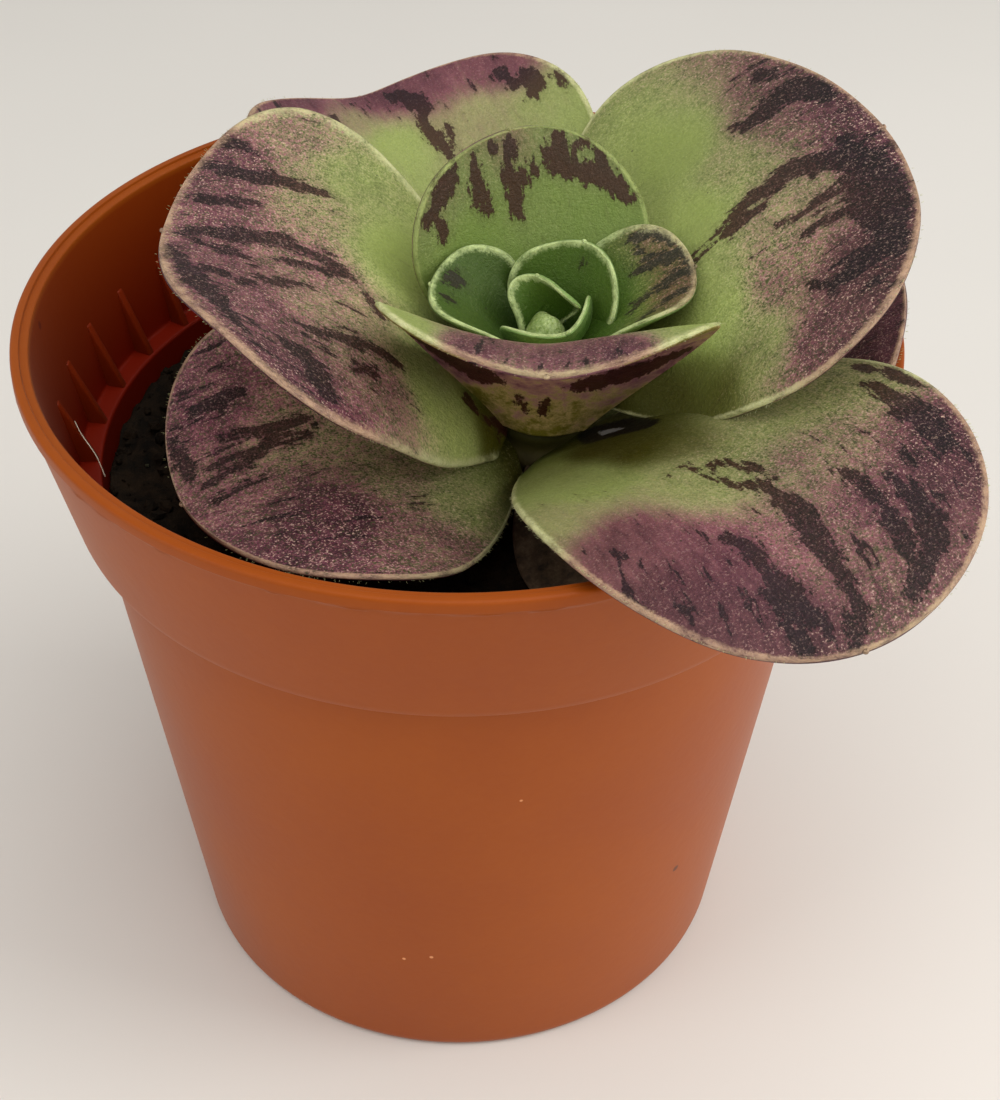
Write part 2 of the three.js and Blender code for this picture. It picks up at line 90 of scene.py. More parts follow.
# Slow waves of the soil: rate along x and y, phase and height
SOIL_WAVES = [(0.55, 0.48, 0.9, 0.24), (0.55, -0.48, 1.7, 0.24), (0.91, -0.73, 2.1, 0.27), (1.37, 1.21, 1.6, 0.22)]
# Short waves of the soil: how many, and the spans of their rate, direction, phase and height
SOIL_GRAIN = {"seed": 7, "count": 14, "spans": ((1.6, 5.5), (0, 2 * math.pi), (0, 2 * math.pi), (0.04, 0.12))}
# Loose lumps on the soil: their least breadth, unevenness and tilt, how proud they lie, the room that they leave
# round the stem, and the smallest that is made
LUMPS = {"narrow": 0.45, "knock": 0.35, "tilt": 0.6, "proud": 0.24, "room": 0.6, "least": 0.1}
STEM = {"x": 8.6, "y": -3, "bottom": 36, "root_top": 62.5, "top": 78.2, "radius": 4.6, "root_radius": 2.6,
        "top_radius": 2.6, "crown": 0.5, "scar": 0.22, "scar_pitch": 3.2, "scar_phase": 1}
HEART = {"bottom": 78.6, "foot_radius": 1.75, "radius": 2.2, "cap_radius": 1.3, "cap_height": 0.6, "top": 81.6}
FIBRE = [(-40.0, -2.6, 68.0), (-38.9, -5.2, 68.2), (-37.3, -7.2, 67.0), (-36.4, -8.4, 65.2)]

# What all blades of a kind share: distance of the foot from the stem's axis, half width there, thickness in
# the middle and at the margin, points along and across, margin hairs and material slot
LARGE = dict(reach=4.2, base=4.2, middle=2.3, edge=0.62, rows=110, columns=80, hairs=230, slot="green_leaf")
SMALL = dict(reach=3, base=2.4, middle=1.3, edge=0.55, rows=48, columns=40, hairs=0, slot="young_leaf")
TINY = dict(reach=1.5, base=2.1, middle=0.9, edge=0.5, rows=32, columns=28, hairs=0, slot="young_leaf")
DRY = dict(reach=4.2, base=2, middle=0.9, edge=0.4, rows=48, columns=28, hairs=0, slot="dry_leaf")
# What a blade has where its own entry says nothing
# foot is how far in mm the painted shade reaches out from a blade's foot
PLAIN = dict(turn=0, roll=0, roll_tip=0, cup_left=0, cup_right=0, bow=0, fold=0, fold_tip=0, lobes=[], grain=1,
             rim=1, foot=9, flush=[(50, 0, 0)], grains=[], sunk=[], lift=[], back=[], painted_hollow=[], streaks=[],
             under_streaks=[])
# Fine hairs on a margin: where along it they stand, their length, lean, thickness and how deep they sit
HAIR = {"along": (0.12, 0.995), "length": (0.16, 0.34), "lean": 0.35, "foot": 0.028, "tip": 0.006, "sunk": 0.08}
TIP_THINNING = 0.75
CREASE = 0.12
LOBES_FULL = 0.35
LOBES_MOST = 1.5

# Every blade: its bend, size, cup, roll, foot height and fold, and the lobes of its outline as (count round the
# blade, size, turn). Its markings are (along, across, amount) in hundredths, along from the foot to the tip and
# across from the midrib to a margin, left above nought. flush is how purple it is, lift how much painted light
# brightens it, grains how speckled, sunk how much painted shade darkens it to olive and back how purple its
# underside is, each at a few places. streaks are dark strokes, and their amount is half their width in mm.
BLADES = {
    "leaf_right_low": dict(group=LARGE, slot="purple_leaf", heading=8, rise=24, rise_tip=35, length=36.5,
        half_width=19.5, cup_left=12, cup_right=8, roll=2, z=66.5, widest=0.65, fold=-1, shoulder=0.9, rim=0.6,
        lobes=[(3, 0.006, 10), (4, 0.008, 35), (5, 0.009, 15)],
        flush=[(90, -50, 92), (80, 50, 80), (50, 0, 50), (20, 0, 15)],
        streaks=[[(90, 30, 50), (75, 20, 90), (60, 12, 30)]]),
    "leaf_right_front": dict(group=LARGE, slot="purple_leaf", heading=-59, turn=-11, rise=40, rise_tip=-6,
        length=56.5, half_width=20, cup_right=8, roll=13, roll_tip=4, z=66.5, widest=0.55, bow=3, fold=6,
        fold_tip=1, shoulder=1.05, base=5.6, rim=0.75,
        lobes=[(1, 0.005, 140), (2, 0.007, -160), (3, 0.009, -75)],
        flush=[(37, -70, 10), (48, -100, 30), (52, -19, 25), (43, 32, 20), (66, -72, 88), (80, -69, 100),
               (93, -59, 98), (62, 34, 50), (83, 8, 68), (76, 52, 88), (70, 86, 100), (86, 71, 78), (93, 26, 70),
               (43, 88, 30), (10, 0, 0)],
        lift=[(48, -71, 100), (43, 44, 102), (52, 28, 70), (80, -52, 130), (84, -81, 125), (79, 73, 92),
              (95, 20, 88), (66, 56, 100)],
        grains=[(80, -52, 35), (84, -81, 30), (60, -80, 30), (30, 0, 70), (52, 28, 200), (77, 0, 140),
                (95, 20, 170), (79, 73, 110), (66, 56, 160), (90, -30, 70)],
        sunk=[(5, 0, 90), (25, 60, 70), (20, -28, 95), (33, -20, 90), (38, -10, 60), (17, -75, 0), (32, -60, 0),
              (46, -20, 0), (40, 40, 10), (60, 0, 0), (5, -90, 10), (43, 80, 0)],
        streaks=[
            [(45, -17, 9), (50, -13, 14), (54, -11, 18), (58, -10, 14)],
            [(48, -7, 9), (49, -3, 18), (53, 2, 23), (56, 6, 18), (60, 6, 14)],
            [(58, -5, 14), (61, -1, 32), (65, 2, 80), (69, 4, 115), (74, 3, 122), (79, 3, 108), (83, 3, 77),
             (85, 5, 38), (89, 8, 25), (93, 10, 21), (96, 8, 17), (99, -2, 12)],
            [(66, 35, 36), (68, 37, 50), (70, 38, 31), (73, 40, 36), (77, 43, 53), (81, 45, 61), (84, 49, 43),
             (88, 53, 22)],
            [(71, 55, 36), (74, 58, 58), (78, 61, 89), (82, 66, 119), (85, 68, 104), (89, 66, 78), (92, 57, 68),
             (94, 57, 38)],
            [(70, -34, 35), (72, -32, 78), (75, -30, 69), (79, -30, 38), (83, -29, 59), (86, -28, 84),
             (90, -27, 75), (92, -26, 58), (95, -27, 33)],
            [(84, -40, 34), (88, -40, 59), (91, -42, 42)],
            [(91, -50, 29), (94, -54, 41), (97, -69, 29)],
            [(43, 93, 20), (47, 94, 39), (50, 95, 67), (53, 97, 48)],
            [(48, 81, 14), (51, 83, 57), (55, 83, 104), (59, 83, 131), (65, 84, 111), (69, 86, 73)],
            [(93, -4, 21), (96, -5, 25), (99, -18, 17)],
        ],
        # painted shade of a dark gap by the foot, with a painted highlight in it
        painted_hollow=[[(5, 25, 120), (13, 9, 280), (23, 12, 120)]]),
    "leaf_left_low": dict(group=LARGE, slot="purple_leaf", heading=207, turn=-3, rise=22, rise_tip=-8, length=36,
        half_width=21.5, cup_left=15, cup_right=17, roll=-13, roll_tip=2, z=66.5, widest=0.59, fold=-2, fold_tip=2,
        shoulder=1.05, grain=2.2, rim=0.35,
        lobes=[(1, 0.016, 155), (3, 0.006, 150), (4, 0.007, -15)],
        flush=[(84, -59, 85), (97, -39, 70), (86, 21, 75), (66, 49, 100), (82, 88, 95), (49, 74, 60), (43, 29, 45),
               (29, 57, 25), (14, 74, 15), (68, -17, 50)],
        lift=[(79, -51, 200), (90, -64, 160), (71, 49, 108), (33, 64, 76), (88, -5, 160)],
        streaks=[
            [(85, -67, 51), (79, -61, 82), (71, -59, 41)],
            [(81, -35, 40), (75, -30, 60), (70, -26, 65), (63, -26, 71), (58, -26, 61), (56, -23, 25)],
            [(89, -19, 30), (83, -18, 40), (77, -17, 45), (70, -16, 40), (60, -15, 25)],
            [(92, -6, 20), (86, -9, 30), (80, -10, 25), (74, -11, 15)],
            [(91, 18, 19), (84, 9, 29), (78, 6, 15)],
            [(95, -87, 40), (94, -51, 60), (95, -29, 40)],
        ]),
    "leaf_back": dict(group=LARGE, heading=114, turn=1, rise=27, rise_tip=8, length=46.5, half_width=20,
        cup_left=29, cup_right=27, roll=-3, z=68.5, widest=0.65, fold=-1, fold_tip=16, shoulder=0.95, grain=0.25,
        rim=0.5,
        lobes=[(3, 0.004, 165), (4, 0.009, 65), (5, 0.011, -155)],
        flush=[(76, 0, 10), (89, 25, 45), (97, 100, 90), (93, -63, 85), (85, -89, 85), (73, -50, 35), (66, -83, 20),
               (59, -92, 10), (30, 0, 0), (97, -10, 90)],
        lift=[(68, -68, 97), (83, -53, 114), (96, 62, 100)],
        streaks=[
            [(96, -28, 35), (94, -31, 83), (90, -33, 106), (85, -32, 70)],
            [(85, -29, 47), (81, -25, 52), (74, -24, 57), (70, -25, 40), (67, -25, 23)],
            [(76, -33, 23), (74, -32, 23)],
            [(83, -82, 41), (80, -80, 52), (77, -80, 41)],
            [(79, -88, 41), (76, -87, 104), (74, -87, 75), (72, -80, 46)],
            [(73, -98, 23), (71, -99, 46), (69, -99, 23)],
            [(90, 40, 30), (82, 34, 70), (74, 30, 25)],
        ]),
    "leaf_left": dict(group=LARGE, heading=188, turn=-9, rise=56, rise_tip=14, length=41.5, half_width=23.5,
        cup_left=11, cup_right=28, roll=-13, roll_tip=8, z=69.5, widest=0.69, bow=-0.9, fold=-9, fold_tip=1,
        # the wide pale margin is partly the blade's own and partly a painted highlight where light catches the edge
        shoulder=0.95, base=6.1, rim=2.1,
        lobes=[(1, 0.034, -160), (4, 0.015, 65), (5, 0.01, 155)],
        flush=[(41, -42, 0), (56, -67, 15), (64, -49, 42), (73, -88, 50), (86, -69, 85), (91, -3, 80), (79, 58, 80),
               (67, 2, 62), (57, 23, 50), (65, 100, 95), (43, 60, 60), (30, 52, 12), (10, 0, 0)],
        lift=[(54, -77, 90), (43, -52, 136), (40, -20, 116), (20, 75, 142), (30, 30, 125), (63, -20, 108),
              (79, 29, 100), (94, -54, 100), (96, 0, 112), (63, 80, 100)],
        grains=[(63, -20, 230), (50, 50, 180), (94, -54, 170), (79, 29, 150), (63, 80, 140), (96, 0, 210),
                (30, 0, 100)],
        sunk=[(5, 50, 90), (20, 5, 60), (38, 22, 30), (24, 50, 10), (43, -30, 10), (20, 90, 0), (70, 0, 0),
              (40, -80, 0), (50, 60, 0)],
        streaks=[
            [(89, -94, 26), (84, -80, 42), (80, -72, 21)],
            [(95, -97, 31), (92, -78, 41), (90, -70, 21)],
            [(89, -67, 46), (83, -59, 87), (80, -55, 77), (74, -55, 62), (70, -55, 57), (65, -56, 36), (61, -57, 10)],
            [(93, -41, 30), (86, -35, 60), (81, -34, 46), (78, -35, 20)],
            [(94, -1, 34), (89, -4, 69), (83, -8, 109), (76, -11, 89), (70, -13, 70), (66, -12, 60), (62, -10, 50),
             (58, -10, 40), (54, -6, 30), (49, 0, 20), (45, 10, 10)],
            [(72, 4, 20), (67, 0, 35), (62, -2, 40), (57, -5, 20)],
            [(91, 11, 24), (85, 11, 58), (80, 10, 29)],
            [(76, 25, 34), (71, 21, 53), (67, 17, 34), (64, 14, 10)],
            [(98, 56, 24), (95, 51, 76), (91, 57, 113), (88, 67, 102), (84, 75, 73), (82, 80, 50), (79, 81, 18)],
            [(89, 41, 38), (84, 38, 43), (81, 37, 33), (78, 33, 19)],
            [(67, 48, 24), (64, 48, 42), (59, 45, 62), (54, 42, 62), (49, 40, 48), (44, 39, 39), (40, 40, 10)],
            [(69, 69, 55), (66, 70, 110), (63, 73, 120), (62, 83, 91), (60, 91, 45)],
            [(52, 60, 33), (49, 57, 43), (47, 55, 29)],
            [(18, 31, 20), (16, 34, 30), (14, 39, 15)],
            [(10, 44, 20), (4, 48, 36), (0, 55, 15)],
        ]),
    "leaf_right_back": dict(group=LARGE, heading=20, turn=-4, rise=54, rise_tip=21, length=39.5, half_width=27,
        cup_left=12, cup_right=20, roll=5, roll_tip=3, z=72.5, widest=0.56, fold=-6, fold_tip=-1, shoulder=0.85,
        lobes=[(1, 0.01, -60), (2, 0.034, 10), (4, 0.003, 145)],
        flush=[(58, 47, 0), (49, 12, 0), (68, 23, 25), (80, 38, 63), (71, -13, 42), (42, -32, 8), (58, -40, 58),
               (27, -69, 0), (43, -70, 20), (59, -87, 78), (97, 83, 93), (98, -11, 100), (76, -79, 100),
               (91, 66, 73), (10, 0, 0)],
        lift=[(59, 53, 88), (50, 10, 93), (34, -52, 100), (59, -43, 102), (78, -76, 82), (83, 55, 62), (87, 39, 72)],
        grains=[(59, -43, 220), (78, -76, 160), (73, 10, 180), (90, -30, 200), (83, 55, 150), (30, 0, 80)],
        sunk=[(5, -30, 90), (19, -80, 75), (28, -62, 50), (28, -85, 65), (20, 0, 45), (15, 60, 30), (37, -50, 0),
              (43, -80, 10), (50, 10, 0), (50, 70, 0), (70, 0, 0)],
        streaks=[
            [(44, -6, 15), (49, -5, 25), (54, -3, 36), (59, -2, 36), (64, 0, 46), (69, 1, 67), (72, 1, 82),
             (77, 1, 103), (81, -2, 133), (86, -7, 133), (89, -17, 112)],
            [(54, -8, 30), (57, -6, 66), (60, -6, 71), (64, -7, 46)],
            [(90, 4, 52), (90, -8, 123), (90, -27, 203), (89, -44, 290), (87, -60, 247), (85, -76, 146),
             (83, -86, 67)],
            [(65, -19, 15), (69, -21, 25), (72, -23, 35), (77, -23, 40), (81, -25, 40)],
            [(70, -33, 20), (74, -34, 40), (78, -37, 45), (81, -41, 50)],
            [(66, -68, 29), (69, -70, 77), (73, -72, 125), (79, -75, 154), (83, -79, 116)],
            [(71, 42, 32), (74, 40, 58), (78, 43, 85), (82, 48, 106), (86, 54, 128), (90, 61, 139), (93, 64, 117),
             (95, 62, 53)],
            [(83, 72, 27), (85, 76, 65), (88, 78, 49)],
            [(63, -60, 15), (65, -65, 19), (66, -72, 14)],
        ]),
    "leaf_front": dict(group=LARGE, heading=268, rise=82, rise_tip=9.5, length=30.3, half_width=16, cup_left=10,
        cup_right=17, roll=-4, roll_tip=1, z=70.4, widest=0.62, fold=5, fold_tip=8, shoulder=1.1, rim=1.5,
        flush=[(93, -1, 98), (88, -52, 92), (90, 62, 92), (83, -100, 0), (74, 100, 0), (100, 0, 62), (98, 40, 60),
               (98, -40, 60), (84, 100, 20), (50, 0, 45), (20, 0, 10)],
        lift=[(95, -19, 90), (80, 50, 90), (80, -50, 90), (37, 0, 200), (33, -65, 170), (40, 65, 170), (13, 0, 160),
              (2, 0, 160), (20, -60, 140), (20, 60, 120)],
        back=[(42, 0, 62), (30, 0, 62), (25, 0, 50), (19, 0, 32), (12, 0, 20), (2, 0, 0), (35, -60, 78),
              (25, -65, 72), (17, -65, 10), (43, 60, 78), (30, 68, 60), (21, 75, 36), (10, 60, 10), (80, -100, 10),
              (80, 100, 10), (80, 0, 80)],
        under_streaks=[
            [(40, -85, 90), (36, -76, 150), (34, -66, 160)],
            [(31, -60, 110), (30, -50, 150), (29, -40, 80)],
            [(31, 26, 80), (32, 38, 150)],
            [(33, 46, 130), (36, 58, 180), (39, 68, 140)],
            [(42, 77, 120), (45, 90, 80)],
            [(20, -21, 10), (12, -23, 15)],
            [(20, 3, 10), (12, 1, 15)],
        ]),
    "leaf_upright_back": dict(group=LARGE, heading=103, turn=10, rise=57, rise_tip=75, length=22, half_width=13,
        cup_left=33, cup_right=41, roll=-8, roll_tip=5, z=75.5, widest=0.52, fold=4, fold_tip=-2, shoulder=0.9,
        middle=1.8, grain=0.5, rim=0.5,
        lobes=[(1, 0.02, -155), (3, 0.01, 40), (4, 0.015, -115)],
        flush=[(48, 39, 0), (65, -19, 10), (97, -73, 30), (81, 91, 40), (84, -98, 35), (51, -81, 10), (98, -20, 50),
               (10, 0, 0)],
        streaks=[
            [(89, 89, 40), (82, 83, 101), (75, 84, 81), (67, 93, 35)],
            [(66, 78, 30), (58, 72, 40)],
            [(91, 61, 30), (82, 45, 51), (73, 37, 77), (66, 31, 51)],
            [(94, 3, 51), (86, 8, 51), (77, 5, 62), (67, 2, 62), (60, 0, 36)],
            [(90, -63, 72), (84, -53, 145), (78, -51, 103)],
            [(88, -80, 41), (89, -93, 41)],
            [(77, -56, 62), (74, -71, 83), (71, -82, 93), (67, -89, 72), (61, -93, 31)],
            [(84, -96, 31), (80, -89, 36), (75, -85, 26)],
            [(79, -10, 21), (74, -9, 26)],
            [(84, -18, 15), (80, -19, 15)],
            [(95, 37, 26), (93, 29, 15)],
        ]),
    "leaf_inner_left": dict(group=SMALL, heading=182, turn=-6, rise=51, rise_tip=36, length=11.5, half_width=8,
        cup_left=51, cup_right=57, roll_tip=-11, z=77, widest=0.54, fold=9, shoulder=0.85,
        lobes=[(2, 0.036, 0), (3, 0.007, -15), (5, 0.013, 165)],
        lift=[(50, 0, 72)],
        streaks=[
            [(90, -37, 30), (82, -34, 71), (73, -32, 30)],
            [(85, 17, 15), (79, 12, 20)],
        ]),
    "leaf_inner_right": dict(group=SMALL, heading=8, turn=-5, rise=48, rise_tip=24, length=15, half_width=8,
        cup_left=46, cup_right=42, roll=-3, roll_tip=10, z=77.5, widest=0.6, bow=-0.5, fold=3, fold_tip=-3,
        shoulder=0.9,
        lobes=[(2, 0.033, -160), (3, 0.042, 50), (4, 0.015, -135)],
        flush=[(82, 55, 60), (42, 35, 0), (89, -28, 70), (30, 0, 0)],
        streaks=[
            [(70, 84, 41), (77, 85, 61), (84, 87, 56), (90, 85, 46), (94, 70, 41), (96, 33, 35), (96, -23, 30)],
            [(65, 39, 41), (73, 40, 56), (83, 40, 61), (91, 49, 46)],
            [(50, -33, 15), (60, -17, 35), (71, -9, 55), (82, -7, 65), (93, -7, 50)],
            [(58, -84, 15), (66, -60, 25), (78, -51, 35), (89, -56, 25)],
            [(69, 69, 31), (71, 60, 36)],
        ]),
    "leaf_inner_back": dict(group=SMALL, heading=51, turn=3, rise=59, rise_tip=81, length=11.2, half_width=7,
        cup_left=59, cup_right=55, roll=6, roll_tip=7, z=76.2, reach=2.7, widest=0.57, fold_tip=3, shoulder=0.9,
        lobes=[(3, 0.024, 15), (4, 0.014, -25), (5, 0.017, -85)],
        streaks=[[(86, 0, 15), (84, -8, 15)]]),
    "leaf_withered": dict(group=DRY, heading=-84, turn=8, rise=-20, rise_tip=10, length=20, half_width=5,
        cup_left=-20, cup_right=20, roll=12, roll_tip=30, z=66, widest=0.6, shoulder=1,
        flush=[(50, 0, 50)]),
}
HEART_BLADES = [
    dict(group=TINY, heading=113, turn=-8, rise=70, rise_tip=99, length=6, half_width=4, cup_left=61, cup_right=61,
        roll_tip=-37, z=79, reach=1.4, widest=0.61, bow=-1, shoulder=0.9,
        lift=[(50, 0, 130)]),
    dict(group=TINY, heading=-67, turn=9, rise=56, rise_tip=57, length=5.5, half_width=6, cup_left=59, cup_right=54,
        roll=-9, roll_tip=5, z=77.5, reach=1.7, widest=0.62, fold=-3, fold_tip=11, shoulder=0.9, base=3.2,
        lift=[(50, 0, 130)]),
]


# ---- materials

def colour(red, green, blue):
    """A linear colour from the values 0 to 255 that a screen shows."""
    return tuple(((c / 255 + 0.055) / 1.055) ** 2.4 if c > 10 else c / 255 / 12.92 for c in (red, green, blue)) + (1,)


class Value:
    """What a material works out at each point. Numbers of this kind take plain arithmetic."""

    def __init__(self, surface, socket):
        self.surface, self.socket = surface, socket

    def sum(self, operation, first, second):
        return Value(self.surface, self.surface.node("Math", {0: first, 1: second}, operation=operation).outputs[0])

    def __add__(self, other):
        return self.sum("ADD", self, other)

    def __sub__(self, other):
        return self.sum("SUBTRACT", self, other)

    def __rsub__(self, other):
        return self.sum("SUBTRACT", other, self)

    def __mul__(self, other):
        return self.sum("MULTIPLY", self, other)

    def __truediv__(self, other):
        return self.sum("DIVIDE", self, other)

    def at_least(self, other):
        return self.sum("MAXIMUM", self, other)

    def at_most(self, other):
        return self.sum("MINIMUM", self, other)

    def held(self):
        """Kept between 0 and 1."""
        self.socket.node.use_clamp = True
        return self

    def around(self, amount):
        """A noise value as a swing of the amount about nought."""
        return (self - 0.5) * amount

    def step(self, low, high):
        """0 below low, 1 above high and smooth between them; low may be the greater."""
        node = self.surface.node("MapRange", {"Value": self, "From Min": low, "From Max": high},
                                 interpolation_type="SMOOTHSTEP")
        return Value(self.surface, node.outputs["Result"])


class Surface:
    """A material, with short names for the nodes that it is built from."""

    def __init__(self, name):
        self.material = bpy.data.materials.new(name)
        self.material.use_nodes = True
        self.tree = self.material.node_tree
        self.tree.nodes.clear()
        self.skin = self.node("BsdfPrincipled")
        self.tree.links.new(self.skin.outputs["BSDF"], self.node("OutputMaterial").inputs["Surface"])

    def node(self, kind, inputs=None, **settings):
        node = self.tree.nodes.new("ShaderNode" + kind)
        for name, setting in settings.items():
            setattr(node, name, setting)
        for name, value in (inputs or {}).items():
            self.put(node.inputs[name], value)
        return node

    def put(self, socket, value):
        if isinstance(value, Value):
            self.tree.links.new(value.socket, socket)
        else:
            socket.default_value = value

    def skin_is(self, **values):
        for name, value in values.items():
            self.put(self.skin.inputs[name.replace("_", " ")], value)

    def attribute(self, name, output="Fac"):
        return Value(self, self.node("Attribute", attribute_name=name).outputs[output])

    def object_place(self):
        return Value(self, self.node("TexCoord").outputs["Object"])

    def mix(self, amount, first, second, blend="MIX"):
        node = self.node("Mix", data_type="RGBA", blend_type=blend)
        for place, value in zip((0, 6, 7), (amount, first, second)):
            self.put(node.inputs[place], value)
        return Value(self, node.outputs[2])

    def ramp(self, value, stops):
        """Shades from one colour to the next, each stop being (place, red, green, blue)."""
        node = self.node("ValToRGB", {0: value})
        elements = node.color_ramp.elements
        while len(elements) < len(stops):
            elements.new(0.5)
        for element, (place, *shade) in zip(elements, stops):
            element.position = place
            element.color = colour(*shade)
        return Value(self, node.outputs["Color"])

    def noise(self, place, scale, detail=2.0, roughness=0.5):
        node = self.node("TexNoise", {"Vector": place, "Scale": scale, "Detail": detail, "Roughness": roughness})
        return Value(self, node.outputs["Fac"])

    def stretched(self, place, factors):
        """The place with each direction squeezed by its factor, so that a texture is drawn out."""
        return Value(self, self.node("VectorMath", {0: place, 1: factors}, operation="MULTIPLY").outputs["Vector"])

    def cells(self, place, scale):
        """Distance to the nearest seed, and that seed's own random value."""
        node = self.node("TexVoronoi", {"Vector": place, "Scale": scale})
        parts = self.node("SeparateColor", {"Color": Value(self, node.outputs["Color"])})
        return Value(self, node.outputs["Distance"]), Value(self, parts.outputs["Red"])

    def relief(self, height, depth, strength=1.0):
        node = self.node("Bump", {"Height": height, "Distance": depth, "Strength": strength})
        self.tree.links.new(node.outputs["Normal"], self.skin.inputs["Normal"])


def make_pot_plastic():
    surface = Surface("pot plastic")
    place = surface.object_place()
    inside = surface.attribute("inside")
    cloud = surface.noise(place, 38, 3)
    grain = surface.noise(place, 900, 2)
    base = surface.ramp(cloud + grain.around(0.25), [(0.3, 145, 65, 2), (0.7, 153, 73, 6)])
    # a few pale and a few dark specks
    for scale, full, gone, seldom, always, strength, shade in (
            (330, 0.05, 0.09, 0.95, 0.96, 0.7, colour(238, 170, 120)),
            (210, 0.07, 0.12, 0.965, 0.97, 0.8, colour(70, 34, 22))):
        distance, chance = surface.cells(place, scale)
        speck = distance.step(gone, full) * chance.step(seldom, always)
        base = surface.mix(speck * strength, base, shade)
    # painted shade: the inside of the pot is a deeper red-brown, and has less sheen
    base = surface.mix(inside, base, colour(120, 22, 1))
    surface.skin_is(Base_Color=base, Roughness=cloud.around(0.16) + 0.46, Specular_IOR_Level=0.18,
                    Sheen_Roughness=0.4, Sheen_Weight=(1.0 - inside) * 0.08)
    surface.relief(cloud + grain * 0.2, 0.00025, 0.35)
    return surface.material


def make_soil(name, dark, light):
    surface = Surface(name)
    place = surface.object_place()
    grain = surface.noise(place, 700, 5, 0.7)
    tone = grain * 0.6 + surface.noise(place, 160, 3) * 0.4
    surface.skin_is(Base_Color=surface.ramp(tone, [(0.38, *dark), (0.68, *light)]), Roughness=grain.around(0.3) + 0.8,
                    Specular_IOR_Level=0.12)
    surface.relief(tone, 0.0012, 0.9)
    return surface.material


# Colours of a blade from its green base to its most flushed part
FLUSH_RAMP = [(0.0, 144, 160, 84), (0.16, 144, 156, 90), (0.36, 146, 142, 98), (0.56, 134, 110, 92),
              (0.78, 116, 70, 78), (1.0, 76, 38, 50)]
UPRIGHT_RAMP = [(0.0, 108, 132, 56), (0.3, 116, 130, 72), (0.6, 118, 96, 76), (1.0, 78, 42, 48)]
YOUNG_RAMP = [(0.0, 76, 104, 34), (0.4, 96, 108, 48), (0.7, 100, 80, 54), (1.0, 74, 46, 44)]
# Colours of a blade's back, from plain to the purple beside its margin
BACK_RAMP = [(0.0, 112, 104, 34), (0.3, 164, 142, 92), (0.5, 160, 118, 108), (0.75, 126, 78, 90), (1.0, 66, 32, 42)]
YOUNG_BACK_RAMP = [(0.0, 92, 128, 56), (1.0, 120, 146, 84)]
# Colours of the dark streaks, on green, on tan and on purple
STREAK_RAMP = [(0.25, 54, 17, 14), (0.6, 38, 13, 14), (0.9, 30, 14, 20)]

BLADE_FACTS = ("flush", "streak", "margin", "under", "grain", "rim", "foot", "back", "lift", "painted_hollow")


